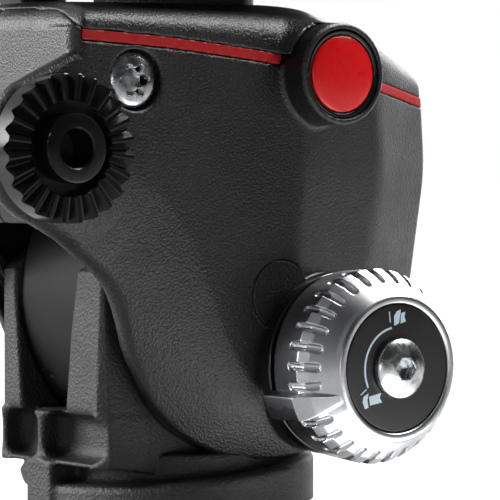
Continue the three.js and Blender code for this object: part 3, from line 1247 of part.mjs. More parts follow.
function railSolid(side) {
  const inner = CHANNEL_HALF_WIDTH;
  const top = platformTop + RAIL_HEIGHT;
  const outline = [
    [inner + RAIL_SLOPE, platformTop - OVERRUN],
    [inner + RAIL_WIDTH, platformTop - OVERRUN],
    [inner + RAIL_WIDTH, top],
    [inner, top],
    [inner + RAIL_SLOPE, platformTop + OVERRUN],
  ];
  const ends = [PLATFORM_REAR + RAIL_REAR_SETBACK, PLATFORM_FRONT];
  const rail = loft(ends.map((y) => outline.map(([x, z]) => new THREE.Vector3(x, y, z))));
  return side > 0 ? rail : mirrored(rail);
}

function clampJaw() {
  const half = CLAMP_JAW_LENGTH / 2;
  const solid = mirrored(railSolid(1));
  const room = block(-OPEN_END, 0, CLAMP_KNOB_Y - half, CLAMP_KNOB_Y + half, platformTop + GAP, OPEN_END);
  return common(solid, room);
}

function releasePlate() {
  const bottom = platformTop + GAP;
  const waist = bottom + PLATE_DOVETAIL_HEIGHT;
  const top = bottom + PLATE_THICKNESS;
  const foot = CHANNEL_HALF_WIDTH + RAIL_SLOPE - PLATE_SIDE_PLAY;
  const neck = CHANNEL_HALF_WIDTH - RUNNING_GAP;
  const outline = [
    [foot, bottom],
    [foot, bottom + OVERRUN],
    [neck, waist],
    [neck, waist + GAP],
    [PLATE_HALF_WIDTH, waist + GAP],
    [PLATE_HALF_WIDTH, top - PLATE_BEVEL],
    [PLATE_HALF_WIDTH - PLATE_BEVEL, top],
  ];
  const loop = [...outline, ...outline.map(([x, z]) => [-x, z]).reverse()];
  const ends = [PLATE_CENTRE_Y - PLATE_HALF_LENGTH, PLATE_CENTRE_Y + PLATE_HALF_LENGTH];
  const bar = loft(ends.map((y) => loop.map(([x, z]) => new THREE.Vector3(x, y, z))));
  const slot = join(
    block(-CAMERA_SCREW_RADIUS - GAP, CAMERA_SCREW_RADIUS + GAP, PLATE_CENTRE_Y - SCREW_SLOT_HALF_LENGTH,
      PLATE_CENTRE_Y + SCREW_SLOT_HALF_LENGTH, 0, OPEN_END),
    block(-CAMERA_SCREW_HEAD_RADIUS - 2 * GAP, CAMERA_SCREW_HEAD_RADIUS + 2 * GAP,
      PLATE_CENTRE_Y - SCREW_SLOT_HALF_LENGTH - CAMERA_SCREW_HEAD_RADIUS,
      PLATE_CENTRE_Y + SCREW_SLOT_HALF_LENGTH + CAMERA_SCREW_HEAD_RADIUS, 0, top - PLATE_FLOOR_THICKNESS),
  );
  const padRoom = [-1, 1].map((side) => padBlock(side, GAP));
  return cut(bar, slot, ...padRoom);
}

function padBlock(side, clearance) {
  const top = platformTop + GAP + PLATE_THICKNESS;
  const middle = PLATE_CENTRE_Y + side * (PLATE_HALF_LENGTH - PLATE_EDGE - PLATE_PAD_LENGTH / 2);
  const half = PLATE_PAD_LENGTH / 2 + clearance;
  const wide = PLATE_HALF_WIDTH - PLATE_EDGE + clearance;
  const from = top - PLATE_PAD_HEIGHT / 2 - clearance;
  return block(-wide, wide, middle - half, middle + half, from, from + PLATE_PAD_HEIGHT + clearance);
}

function cameraScrew() {
  const top = platformTop + GAP + PLATE_THICKNESS;
  const place = [0, PLATE_CENTRE_Y, 0];
  const headTop = top - PLATE_FLOOR_THICKNESS - GAP;
  const headBottom = headTop - CAMERA_SCREW_HEAD_HEIGHT;
  const screw = join(
    turned([
      [0, headBottom],
      [CAMERA_SCREW_HEAD_RADIUS - CAMERA_SCREW_HEAD_EDGE, headBottom],
      [CAMERA_SCREW_HEAD_RADIUS, headBottom + CAMERA_SCREW_HEAD_EDGE],
      [CAMERA_SCREW_HEAD_RADIUS, headTop],
      [0, headTop],
    ], 'z', SMALL_ROUND_SIDES, place),
    rod(CAMERA_SCREW_RADIUS, headTop - OVERRUN, top + CAMERA_SCREW_PROUD, 'z', FINE_ROUND_SIDES, place),
  );
  const coinSlot = block(-OPEN_END, OPEN_END, PLATE_CENTRE_Y - COIN_SLOT_HALF_WIDTH,
    PLATE_CENTRE_Y + COIN_SLOT_HALF_WIDTH, 0, headBottom + COIN_SLOT_DEPTH);
  return cut(screw, coinSlot);
}

function clampScrewSolid() {
  const z = platformTop - PLATFORM_THICKNESS / 2;
  return rod(CLAMP_SCREW_RADIUS, -PLATFORM_HALF_WIDTH - CLAMP_KNOB_LENGTH / 2, -OVERRUN, 'x', FINE_ROUND_SIDES,
    [0, CLAMP_KNOB_Y, z]);
}

function clampKnob() {
  const z = platformTop - PLATFORM_THICKNESS / 2;
  const knob = flutedKnob(CLAMP_KNOB_RADIUS, CLAMP_KNOB_LENGTH, CLAMP_KNOB_FLUTES, CLAMP_KNOB_FLUTE_RADIUS,
    CLAMP_KNOB_EDGE, CLAMP_SCREW_RADIUS + GAP, CLAMP_KNOB_LENGTH / 2 + GAP);
  return mirrored(knob).translate([-PLATFORM_HALF_WIDTH - RUNNING_GAP, CLAMP_KNOB_Y, z]);
}

function safetyButton() {
  const z = PLATFORM_BOTTOM + PLATFORM_THICKNESS / 2;
  return rod(BUTTON_RADIUS - GAP / 2, -PLATFORM_HALF_WIDTH - BUTTON_PROUD, -PLATFORM_HALF_WIDTH + BUTTON_DEPTH, 'x',
    FINE_ROUND_SIDES, [0, BUTTON_Y, z]);
}

const bubbleLevel = () => rod(LEVEL_RADIUS, platformTop - LEVEL_DEPTH + GAP, platformTop - GAP, 'z',
  SMALL_ROUND_SIDES, [0, LEVEL_Y, 0]);

// Assembly

const head = new THREE.Group();

function piece(group, name, solid, material) {
  const mesh = new THREE.Mesh(geometryOf(solid), material);
  mesh.name = name;
  group.add(mesh);
}

const base = new THREE.Group();
piece(base, 'base_plate', basePlate(), castPaint);
piece(base, 'base_pad', basePad(), rubber);
piece(base, 'thread_insert', threadInsert(), brass);
piece(base, 'pan_spindle', panSpindle(), steel);
piece(base, 'pan_circlip', panCirclip(), darkSteel);
piece(base, 'pan_washer', panWasher(), nylon);

const pan = new THREE.Group();
piece(pan, 'pan_body', panBody(), castPaint);
piece(pan, 'pan_drag_disc', panDragDisc(), darkSteel);
piece(pan, 'pan_lock_shoe', panLockShoe(), brass);
piece(pan, 'pan_lock_stud', panLockStud(), steel);
piece(pan, 'pan_lock_knob', panLockKnob(), blackPlastic);
piece(pan, 'tilt_axle', tiltAxle(), steel);

const tilt = new THREE.Group();
piece(tilt, 'tilt_frame', tiltFrame(), castPaint);
piece(tilt, 'tilt_cartridge', tiltCartridge(), darkSteel);
piece(tilt, 'top_hood', topHood(), moulded);
piece(tilt, 'red_stripe_front', stripePiece('front'), redPaint);
for (const [side, word] of [[1, 'right'], [-1, 'left']]) {
  piece(pan, `tilt_washer_${word}`, tiltWasher(side), nylon);
  piece(pan, `axle_screw_${word}`, axleScrew(side), steel);
  piece(tilt, `${word}_shell`, shell(side), moulded);
  piece(tilt, `red_stripe_${word}`, stripePiece(side), redPaint);
  piece(tilt, `rosette_${word}`, rosette(side), darkSteel);
  piece(tilt, `badge_bezel_${word}`, badgeBezel(side), blackPlastic);
  piece(tilt, `badge_dome_${word}`, badgeDome(side), redGloss);
  piece(tilt, `shell_screw_${word}`, shellScrew(side), steel);
  piece(tilt, `axle_cap_${word}`, axleCap(side), blackPlastic);
}
piece(tilt, 'tilt_lock_collar', lockCollar(), blackPlastic);
piece(tilt, 'tilt_lock_shoe', tiltShoe(), brass);
piece(tilt, 'tilt_knob_ring', knobRing(), satinAlloy);
piece(tilt, 'tilt_knob_disc', knobDisc(), blackPlastic);
piece(tilt, 'tilt_knob_screw', knobScrew(), steel);
piece(tilt, 'platform', platform(), castPaint);
piece(tilt, 'clamp_jaw', clampJaw(), satinAlloy);
piece(tilt, 'clamp_screw', clampScrewSolid(), steel);
piece(tilt, 'clamp_knob', clampKnob(), blackPlastic);
piece(tilt, 'safety_button', safetyButton(), redGloss);
piece(tilt, 'bubble_level', bubbleLevel(), levelGlass);
piece(tilt, 'release_plate', releasePlate(), satinAlloy);
piece(tilt, 'plate_pad_rear', padBlock(-1, 0), rubber);
piece(tilt, 'plate_pad_front', padBlock(1, 0), rubber);
piece(tilt, 'camera_screw', cameraScrew(), steel);

head.add(base, pan, tilt);

export default head;
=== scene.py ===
# Looks of a two-way camera head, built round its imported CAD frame.
# Sizes are millimetres in the frame's own axes, and meshes are scaled to metres when they are made.
import math

import bmesh
import bpy
import numpy as np
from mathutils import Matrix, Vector


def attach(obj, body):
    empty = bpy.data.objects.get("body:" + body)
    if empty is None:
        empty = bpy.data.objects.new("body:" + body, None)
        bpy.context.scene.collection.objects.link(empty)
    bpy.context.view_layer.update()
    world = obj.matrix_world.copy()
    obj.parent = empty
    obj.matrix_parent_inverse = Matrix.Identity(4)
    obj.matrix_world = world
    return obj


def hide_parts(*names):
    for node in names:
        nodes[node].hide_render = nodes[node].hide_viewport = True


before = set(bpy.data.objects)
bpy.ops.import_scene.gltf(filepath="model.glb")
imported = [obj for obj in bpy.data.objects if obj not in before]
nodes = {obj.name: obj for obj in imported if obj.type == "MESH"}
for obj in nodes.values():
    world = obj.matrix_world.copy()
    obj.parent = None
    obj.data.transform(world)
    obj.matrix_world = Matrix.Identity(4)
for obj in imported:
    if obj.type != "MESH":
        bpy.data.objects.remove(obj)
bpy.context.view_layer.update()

MM = 0.001

# Steps of the fine meshes
SHELL_STEP = 0.5
CAST_STEP = 0.55
SMALL_STEP = 0.25
FINE_STEP = 0.2
ROUND_SEGMENTS = 160

# Camera, fitted to the photograph
CAMERA_PLACE = (575.0, -402.7, 79.0)
CAMERA_AZIMUTH = 53.65
CAMERA_PITCH = 1.56
FOCAL_PIXELS = 3300.0
IMAGE_PIXELS = 500
SENSOR_WIDTH = 36.0

# Base and pan body
BASE_RADIUS = 30.0
BASE_BOTTOM = 0.8
BASE_TOP = 5.8
PAD_RADIUS = 26.5
PAD_HOLE_RADIUS = 15.5
PAD_TOP = 2.0
PAD_PLAY = 0.3
PAD_SEAT = 2.3
BASE_BORE = 8.3
BASE_ROOM_RADIUS = 13.3
BASE_ROOM_FLOOR = 1.8
SKIRT_BOTTOM = 7.1
SKIRT_MID_TOP = 14.6
SKIRT_SLOPE = 0.1
FORK_RIGHT = 17.7
FORK_LEFT = 20.2
MOUTH_DRAFT = 2.3
FORK_REAR = -30.0
FORK_FRONT = 21.0
FORK_EAR_RADIUS = 27.0
FORK_SHOULDER = 57.0
LIP_RADIUS = 128.0
LIP_LOW = 13.0
LIP_Y = 2.0
CHEEK_DRAFT = ([27, 44, 55], [5.1, 3.0, 0.8])
CHEEK_CHAMFER = ([19, 55], [2.4, 0.6])
CORE_RADIUS = 24.0
CORE_TOP = 18.5
SKIRT_ROOM_RADIUS = 16.0
SKIRT_ROOM_TOP = 13.9
AXLE_BORE = 6.3
WEB_REAR = -30.6
WEB_BOTTOM = 15.8
WEB_TOP = 26.9
RIB_REAR = -31.2
RIB_FRONT = -20.0
RIB_HALF = 4.6
POCKET_DEPTH = 6.5
POCKETS = [(6.05, 10.25), (-12.7, 6.3)]
POCKET_Z = 21.7
POCKET_HALF_HEIGHT = 4.8
POCKET_ROUNDING = 3.0
LOCK_HEIGHT = 11.8
LOCK_BOSS_RADIUS = 4.5
LOCK_BOSS_END = 34.0
LOCK_BORE = 2.3

# Tilt axis, drum and neck
TILT_Y = 6.5
TILT_Z = 51.0
DRUM_RADIUS = 35.0
DRUM_RIGHT = 8.7
DRUM_LEFT = 14.9
DRUM_HUB_INSET = 1.1
DRUM_DISH_RADIUS = 17.0
DRUM_DISH_HALF = 10.0
DRUM_BORE = 11.3
SLOT_PLAY = 0.3
DRUM_MARK_ANGLE = 209.0
DRUM_MARK_SLANT = 20.0
DRUM_MARK_X = -11.8
DRUM_MARK_HALF_LENGTH = 2.2
DRUM_MARK_HALF_WIDTH = 0.5
DRUM_MARK_DEPTH = 0.7
NECK_HALF_WIDTH = 17.7
NECK_HALF_LENGTH = 16.0
NECK_MIDDLE = 88.5
NECK_HALF_HEIGHT = 9.5
NECK_ROOT_MIDDLE = 82.0
NECK_ROOT_HALF_HEIGHT = 4.0
EAR_SWEEP = 37.8

# Head form
HALF_WIDTH = 30.0
REAR = -45.0
REAR_CORNER = 3.5
CREASE_Y = 12.0
FACET_X = 18.0
FACET_Y = 42.6
NOSE_HALF = 6.2
NOSE_Y = 64.6
NOSE_SPLIT = 77.0
LEAN_BELOW = 0.165
LEAN_ABOVE = 0.07
WALL = 3.0
ARC_RADIUS = 34.4
ARC_FROM = 208.0
ARC_TO = 338.0
SWEEP_RADIUS = 50.4
FRONT_ROOM = ([47, 55], [35.6, 31.5])
FORK_PLAY = 0.5
EAR_Y = -48.8
EAR_Z = 81.3
EAR_RADIUS = 15.4
EAR_TOP_RISE = 19.4
EAR_HEEL = (-42.5, 61.0)
EAR_ROOT_Y = -14.0
ROSETTE_SEAT_RADIUS = 14.0
ROSETTE_SEAT_FADE = 7.0
TAIL_KNEE = (-33.0, 53.2)
TAIL_FOOT = (-27.2, 40.5)
TAIL_INSET = (3.4, 1.6)
TAIL_ROLL = ([30, 50], [0.6, 2.2])
EAR_THICKNESS = 3.2

# Scooped flank: the crease, and how steeply the flank falls away from it at each height
CREASE_LINE = [
    (-52, 92), (-33, 77.5), (-22.5, 71), (-16, 62), (-11.2, 52), (-7, 42), (-1.5, 34.5), (6, 29.5),
    (22, 26), (52, 26),
]
FALL_HEIGHTS = [10, 24, 34, 46, 58, 80]
FALL_SLOPES = [0.5, 0.46, 0.38, 0.27, 0.19, 0.12]
SHOULDER_WIDTH = 5.0
SHOULDER_CURVE = 0.0045

# Stripe and roof lines, as places along Y and their heights
STRIPE_LINE = [(-45, 105.6), (-22.5, 104.3), (0, 102.1), (12, 100.4), (42.6, 96.4), (64.6, 93.0)]
ROOF_LINE = [(-45, 111.6), (14, 112.6), (27, 111.2), (39, 108.4), (57, 100.8), (64.6, 96.6)]
STRIPE_HEIGHT = 2.1
STRIPE_DEPTH = 1.2
STRIPE_START = -42.6
STRIPE_DROP = 0.5
STRIPE_INSIDE = 27.0
SEAM_CLIMB = (0.6, 0.5)
SEAM_MARGIN = 0.5
SEAM_RUN_IN = 1.6
SHELL_DROP = 0.52
HOOD_DROP = 0.45
HOOD_RAKE = 5.0
ARCH_POWER = 3.0

# Round features on the side
BADGE_Y = 17.3
BADGE_Z = 96.8
BADGE_BOSS_RADIUS = 10.6
BADGE_BOSS_START = 24.0
BADGE_BOSS_END = 37.2
BADGE_SEAT_RADIUS = 9.3
BADGE_RADIUS = 7.9
SCREW_Y = -29.8
SCREW_Z = 95.0
SCREW_RADIUS = 5.75
SCREW_PLAY = 0.5
SCREW_SEAT = 27.0
CAP_RADIUS = 7.2
CAP_PLAY = 0.12
CAP_SEAT = 27.7
OUTSIDE = 60.0
KNOB_Y = 19.6
KNOB_Z = 36.6
KNOB_BOSS_RADIUS = 18.6
KNOB_BOSS_END = 30.1
KNOB_POSITIONS = 30
LUG_ANGLE = 202.0
ROSETTE_TEETH = 24


# Fields: negative inside a solid, in millimetres

def rounded_join(a, b, radius):
    near_a = np.maximum(radius - a, 0)
    near_b = np.maximum(radius - b, 0)
    return np.maximum(radius, np.minimum(a, b)) - np.hypot(near_a, near_b)


def rounded_common(a, b, radius):
    return -rounded_join(-a, -b, radius)


def rounded_cut(a, b, radius):
    return rounded_common(a, -b, radius)


def soft_max(a, b, width):
    blend = np.maximum(width - np.abs(a - b), 0) / width
    return np.maximum(a, b) + blend * blend * width / 4


def span(x, left, right):
    """Distance outside the stretch from left to right of the middle."""
    return np.maximum(x - right, -left - x)


def cylinder_x(x, y, z, centre, radius, start, end):
    away = np.hypot(y - centre[0], z - centre[1]) - radius
    return np.maximum(away, np.maximum(start - x, x - end))


def bearing_x(y, z, middle_y, middle_z):
    """Distance and angle from a line along X."""
    across, up = y - middle_y, z - middle_z
    return np.hypot(across, up), np.arctan2(up, across)


def outline_distance(u, v, corners):
    """Distance to a closed outline, negative inside it."""
    best = np.full(np.broadcast(u, v).shape, 1e9)
    flip = np.ones(best.shape, bool)
    count = len(corners)
    for i in range(count):
        au, av = corners[i]
        bu, bv = corners[(i + 1) % count]
        du, dv = bu - au, bv - av
        length = du * du + dv * dv
        along = np.clip(((u - au) * du + (v - av) * dv) / length, 0, 1)
        best = np.minimum(best, (u - au - along * du) ** 2 + (v - av - along * dv) ** 2)
        crosses = ((av > v) != (bv > v)) & (u < du * (v - av) / (dv if dv else 1e-9) + au)
        flip ^= crosses
    return np.sqrt(best) * np.where(flip, 1, -1)


def arc_points(centre, radius, start, end, steps):
    angles = np.radians(np.linspace(start, end, steps + 1))
    return [(centre[0] + radius * math.cos(a), centre[1] + radius * math.sin(a)) for a in angles]


def smooth_line(points, steps):
    """A smooth line through points, as a Catmull-Rom spline."""
    places = [np.array(point) for point in points]
    ends = [2 * places[0] - places[1], *places, 2 * places[-1] - places[-2]]
    made = []
    for a, b, c, d in zip(ends, ends[1:], ends[2:], ends[3:]):
        for t in np.linspace(0, 1, steps, endpoint=False):
            squared = (2 * a - 5 * b + 4 * c - d) * t * t
            cubed = (3 * b - a - 3 * c + d) * t ** 3
            made.append(0.5 * (2 * b + (c - a) * t + squared + cubed))
    return [tuple(p) for p in made] + [tuple(points[-1])]


def height_on(line):
    curve = np.array(smooth_line(line, 12))
    return lambda y: np.interp(y, curve[:, 0], curve[:, 1])


stripe_height = height_on(STRIPE_LINE)
roof_height = height_on(ROOF_LINE)


# Fine meshes from fields, by surface nets

def surface_net(field, low, high, step):
    axes = [np.arange(a, b + step, step) for a, b in zip(low, high)]
    x, y, z = np.meshgrid(*axes, indexing="ij", sparse=True)
    values = np.broadcast_to(field(x, y, z), [len(a) for a in axes]).astype(np.float32)
    inside = values < 0
    shape = tuple(n - 1 for n in values.shape)
    corners = [(i, j, k) for i in (0, 1) for j in (0, 1) for k in (0, 1)]
    count = np.zeros(shape, np.uint8)
    for i, j, k in corners:
        count += inside[i:i + shape[0], j:j + shape[1], k:k + shape[2]]
    cells = np.argwhere((count > 0) & (count < 8))
    index = np.full(shape, -1, np.int32)
    index[tuple(cells.T)] = np.arange(len(cells))
    at = {c: values[tuple((cells + c).T)] for c in corners}
    total = np.zeros((len(cells), 3))
    hits = np.zeros(len(cells))
    for axis in range(3):
        for start in corners:
            if start[axis]:
                continue
            end = tuple(1 if n == axis else c for n, c in enumerate(start))
            a, b = at[start], at[end]
            crossing = (a < 0) != (b < 0)
            share = np.where(crossing, a / np.where(crossing, a - b, 1), 0)
            point = np.array(start, float) + np.eye(3)[axis] * share[:, None]
            total += point * crossing[:, None]
            hits += crossing
    points = (cells + total / hits[:, None]) * step + np.array(low)
    return points, net_faces(inside, index)


def net_faces(inside, index):
    faces = []
    for axis in range(3):
        b, c = (axis + 1) % 3, (axis + 2) % 3
        before = np.take(inside, range(inside.shape[axis] - 1), axis)
        after = np.take(inside, range(1, inside.shape[axis]), axis)
        edges = np.argwhere(before != after)
        edges = edges[(edges[:, b] > 0) & (edges[:, c] > 0)]
        edges = edges[(edges[:, b] < index.shape[b]) & (edges[:, c] < index.shape[c])]
        step_b, step_c = np.eye(3, dtype=int)[b], np.eye(3, dtype=int)[c]
        quad = [index[tuple((edges - step).T)] for step in (step_b + step_c, step_c, 0 * step_b, step_b)]
        outward = before[tuple(edges.T)]
        quad = np.stack(quad, 1)
        faces.append(np.where(outward[:, None], quad, quad[:, ::-1]))
    return np.concatenate(faces)


def drawn_onto(field, points, step):
    """Moves points onto the field's surface in two goes, each by at most half a step."""
    reach = step * 0.25
    for _ in range(2):
        value = field(*points.T)
        slope = np.stack([
            field(*(points + shift).T) - field(*(points - shift).T)
            for shift in np.eye(3) * reach
        ], 1) / (2 * reach)
        move = slope * (value / np.maximum((slope ** 2).sum(1), 0.3))[:, None]
        length = np.linalg.norm(move, axis=1, keepdims=True)
        points = points - move * np.minimum(1, step / 2 / np.maximum(length, 1e-9))
    return points


def mesh_piece(name, points, faces, body, material, smooth_angle=40):
    """An object in the frame from points in millimetres and faces with the same number of corners each."""
    mesh = bpy.data.meshes.new(name)
    faces = np.asarray(faces, np.int32)
    sides = faces.shape[1]
    mesh.vertices.add(len(points))
    mesh.vertices.foreach_set("co", (np.asarray(points) * MM).astype(np.float32).ravel())
    mesh.loops.add(faces.size)
    mesh.loops.foreach_set("vertex_index", faces.ravel())
    mesh.polygons.add(len(faces))
    mesh.polygons.foreach_set("loop_start", np.arange(0, faces.size, sides, dtype=np.int32))
    mesh.polygons.foreach_set("loop_total", np.full(len(faces), sides, np.int32))
    mesh.update()
    mesh.validate()
    return placed(name, mesh, body, material, smooth_angle)


def linked(name, data):
    thing = bpy.data.objects.new(name, data)
    bpy.context.scene.collection.objects.link(thing)
    return thing


def placed(name, mesh, body, material, smooth_angle):
    mesh.shade_smooth()
    if smooth_angle < 180:
        mesh.set_sharp_from_angle(angle=math.radians(smooth_angle))
    mesh.materials.append(material)
    piece = linked(name, mesh)
    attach(piece, body)
    return piece


def field_piece(name, field, low, high, step, body, material, smooth_angle=180, mirror=False):
    points, faces = surface_net(field, low, high, step)
    points = drawn_onto(field, points, step)
    if mirror:
        points = points * np.array([-1, 1, 1])
        faces = faces[:, ::-1]
    return mesh_piece(name, points, faces, body, material, smooth_angle)


# Turned pieces: a profile of (radius, height) at each angle, swept round an axis

def turned_points(profile_at, segments):
    angles = np.arange(segments) * 2 * math.pi / segments
    profiles = np.array([profile_at(a) for a in angles], float)
    return angles, profiles


def turned_piece(name, profile_at, axis, centre, body, material, segments=ROUND_SEGMENTS,
                 smooth_angle=35, flip=False):
    angles, profiles = turned_points(profile_at, segments)
    count = profiles.shape[1]
    radius, height = profiles[..., 0], profiles[..., 1]
    first, second = radius * np.cos(angles)[:, None], radius * np.sin(angles)[:, None]
    if axis == "x":
        points = np.stack([height * (-1 if flip else 1), first, second], -1)
    else:
        points = np.stack([first, second, height * (-1 if flip else 1)], -1)
    points = points.reshape(-1, 3) + np.array(centre)
    faces = []
    closed = not (radius[0, 0] == 0 and radius[0, -1] == 0)
    for s in range(segments):
        t = (s + 1) % segments
        for i in range(count if closed else count - 1):
            j = (i + 1) % count
            faces.append((s * count + i, s * count + j, t * count + j, t * count + i))
    if flip:
        faces = [f[::-1] for f in faces]
    mesh = bpy.data.meshes.new(name)
    mesh.from_pydata((points * MM).tolist(), [], faces)
    work = bmesh.new()
    work.from_mesh(mesh)
    bmesh.ops.remove_doubles(work, verts=work.verts, dist=1e-7)
    bmesh.ops.dissolve_degenerate(work, edges=work.edges, dist=1e-8)
    bmesh.ops.recalc_face_normals(work, faces=work.faces)
    work.to_mesh(mesh)
    work.free()
    return placed(name, mesh, body, material, smooth_angle)


def rounded_profile(corners, radii, steps=5):
    """A profile whose corners are rounded, each by its own radius."""
    made = []
    count = len(corners)
    for i, (corner, radius) in enumerate(zip(corners, radii)):
        here = np.array(corner, float)
        if radius == 0:
            made.append(tuple(here))
            continue
        back = np.array(corners[i - 1], float) - here
        on = np.array(corners[(i + 1) % count], float) - here
        reach = min(radius, np.linalg.norm(back) / 2.1, np.linalg.norm(on) / 2.1)
        start = here + back / np.linalg.norm(back) * reach
        end = here + on / np.linalg.norm(on) * reach
        for t in np.linspace(0, 1, steps + 1):
            made.append(tuple((1 - t) ** 2 * start + 2 * t * (1 - t) * here + t * t * end))
    return made


# Materials

def principled(name, colour, roughness, metallic=0.0, specular=0.5):
    material = bpy.data.materials.new(name)
    material.use_nodes = True
    shader = material.node_tree.nodes["Principled BSDF"]
    sockets = ("Base Color", "Roughness", "Metallic", "Specular IOR Level")
    for socket, value in zip(sockets, ((*colour, 1), roughness, metallic, specular)):
        shader.inputs[socket].default_value = value
    return material, material.node_tree, shader


def texture(tree, kind, scale, **values):
    node = tree.nodes.new(kind)
    place = tree.nodes.new("ShaderNodeTexCoord")
    tree.links.new(place.outputs["Object"], node.inputs["Vector"])
    node.inputs["Scale"].default_value = scale
    for socket, value in values.items():
        node.inputs[socket].default_value = value
    return node


def clouds(tree, count_per_mm, **values):
    return texture(tree, "ShaderNodeTexNoise", count_per_mm / MM, **values)


def varied_colour(tree, shader, noise, dark, light, low=0.35, high=0.65):
    ramp = tree.nodes.new("ShaderNodeValToRGB")
    ramp.color_ramp.elements[0].position = low
    ramp.color_ramp.elements[1].position = high
    ramp.color_ramp.elements[0].color = (*dark, 1)
    ramp.color_ramp.elements[1].color = (*light, 1)
    tree.links.new(noise.outputs[0], ramp.inputs["Fac"])
    tree.links.new(ramp.outputs["Color"], shader.inputs["Base Color"])


def ranged(tree, value, start, end, low, high):
    """A node that maps the stretch from start to end onto the one from low to high."""
    node = tree.nodes.new("ShaderNodeMapRange")
    for socket, number in zip(("From Min", "From Max", "To Min", "To Max"), (start, end, low, high)):
        node.inputs[socket].default_value = number
    tree.links.new(value, node.inputs["Value"])
    return node


def varied_roughness(tree, shader, noise, low, high):
    rough = ranged(tree, noise.outputs[0], 0.3, 0.7, low, high)
    tree.links.new(rough.outputs["Result"], shader.inputs["Roughness"])


def bumped(tree, shader, height, depth, strength=1.0):
    bump = tree.nodes.new("ShaderNodeBump")
    bump.inputs["Strength"].default_value = strength
    bump.inputs["Distance"].default_value = depth * MM
    tree.links.new(height.outputs[0], bump.inputs["Height"])
    tree.links.new(bump.outputs["Normal"], shader.inputs["Normal"])


def grained(name, dark, light, roughness, grain_per_mm, depth, metallic=0.0, spread=0.08, specular=0.5):
    """A painted or moulded finish: fine grain in the surface and its colour, and slow changes of gloss."""
    material, tree, shader = principled(name, light, roughness, metallic, specular)
    grain = clouds(tree, grain_per_mm, Detail=2.0, Roughness=0.6)
    broad = clouds(tree, 0.06, Detail=3.0)
    varied_colour(tree, shader, grain, dark, light)
    varied_roughness(tree, shader, broad, roughness - spread, roughness + spread)
    bumped(tree, shader, grain, depth)
    return material


def powder_coat(name, dark, light, roughness, cell_per_mm, depth):
    material, tree, shader = principled(name, light, roughness)
    cells = texture(tree, "ShaderNodeTexVoronoi", cell_per_mm / MM, Randomness=1.0)
    noise = clouds(tree, cell_per_mm * 1.7, Detail=3.0, Roughness=0.65)
    both = tree.nodes.new("ShaderNodeMath")
    both.operation = "MULTIPLY_ADD"
    both.inputs[1].default_value = 0.6
    tree.links.new(cells.outputs["Distance"], both.inputs[0])
    tree.links.new(noise.outputs[0], both.inputs[2])
    varied_colour(tree, shader, noise, dark, light)
    broad = clouds(tree, 0.15, Detail=2.0)
    varied_roughness(tree, shader, broad, roughness - 0.06, roughness + 0.06)
    bumped(tree, shader, both, depth)
    return material


def plated(name, dark, light, roughness, patch_per_mm=0.35, metallic=1.0):
    """A plated or machined metal, with faint patches and hairline marks."""
    material, tree, shader = principled(name, light, roughness, metallic)
    patches = clouds(tree, patch_per_mm, Detail=4.0, Roughness=0.6, Distortion=0.6)
    hairs = clouds(tree, 3.0, Detail=3.0)
    varied_colour(tree, shader, patches, dark, light)
    varied_roughness(tree, shader, patches, roughness * 0.7, roughness * 1.4)
    bumped(tree, shader, hairs, 0.01, 0.5)
    return material


def glossy(name, colour, roughness, coat, speck_depth=0.004):
    material, tree, shader = principled(name, colour, roughness)
    shader.inputs["Coat Weight"].default_value = coat
    shader.inputs["Coat Roughness"].default_value = 0.03
    noise = clouds(tree, 0.5, Detail=3.0)
    varied_roughness(tree, shader, noise, roughness * 0.8, roughness * 1.25)
    waves = clouds(tree, 0.25, Detail=2.0)
    bumped(tree, shader, waves, speck_depth)
    return material


SHELL_PLASTIC = grained("shell_plastic", (0.003, 0.003, 0.004), (0.020, 0.020, 0.021), 0.36, 2.0, 0.22)
CASTING = powder_coat("casting", (0.006, 0.006, 0.007), (0.014, 0.014, 0.015), 0.5, 1.5, 0.2)
DRUM_PAINT = grained("drum_paint", (0.008, 0.008, 0.009), (0.012, 0.012, 0.013), 0.5, 5.0, 0.012,
                     specular=0.14)
BLACK_PLASTIC = grained("black_plastic", (0.007, 0.007, 0.008), (0.012, 0.012, 0.013), 0.36, 4.0, 0.015)
ROSETTE_STEEL = grained("rosette_steel", (0.004, 0.004, 0.005), (0.008, 0.008, 0.009), 0.22, 3.0, 0.008,
                        specular=0.3)
RUBBER = grained("rubber", (0.010, 0.010, 0.010), (0.018, 0.018, 0.018), 0.8, 2.5, 0.05)
GLOSS_BLACK = glossy("gloss_black", (0.006, 0.006, 0.007), 0.16, 0.5)
RED_GLOSS = glossy("red_gloss", (0.80, 0.006, 0.008), 0.3, 0.2)
RED_PAINT = glossy("red_paint", (0.46, 0.006, 0.008), 0.5, 0.0)
SATIN_SILVER = grained("satin_silver", (0.50, 0.51, 0.53), (0.58, 0.59, 0.61), 0.3, 5.0, 0.012, metallic=1.0)
ZINC = plated("zinc", (0.36, 0.40, 0.44), (0.72, 0.73, 0.72), 0.24)
STEEL = plated("steel", (0.55, 0.56, 0.57), (0.75, 0.76, 0.77), 0.28)
DARK_STEEL = plated("dark_steel", (0.05, 0.05, 0.055), (0.09, 0.09, 0.095), 0.35)
PLATE_ALLOY = plated("plate_alloy", (0.36, 0.37, 0.38), (0.50, 0.51, 0.52), 0.38)
BRASS = plated("brass", (0.60, 0.40, 0.14), (0.80, 0.58, 0.24), 0.3)
NYLON = grained("nylon", (0.66, 0.65, 0.60), (0.78, 0.77, 0.72), 0.5, 1.5, 0.01)
PRINT = grained("print", (0.42, 0.52, 0.58), (0.52, 0.62, 0.68), 0.5, 6.0, 0.004)


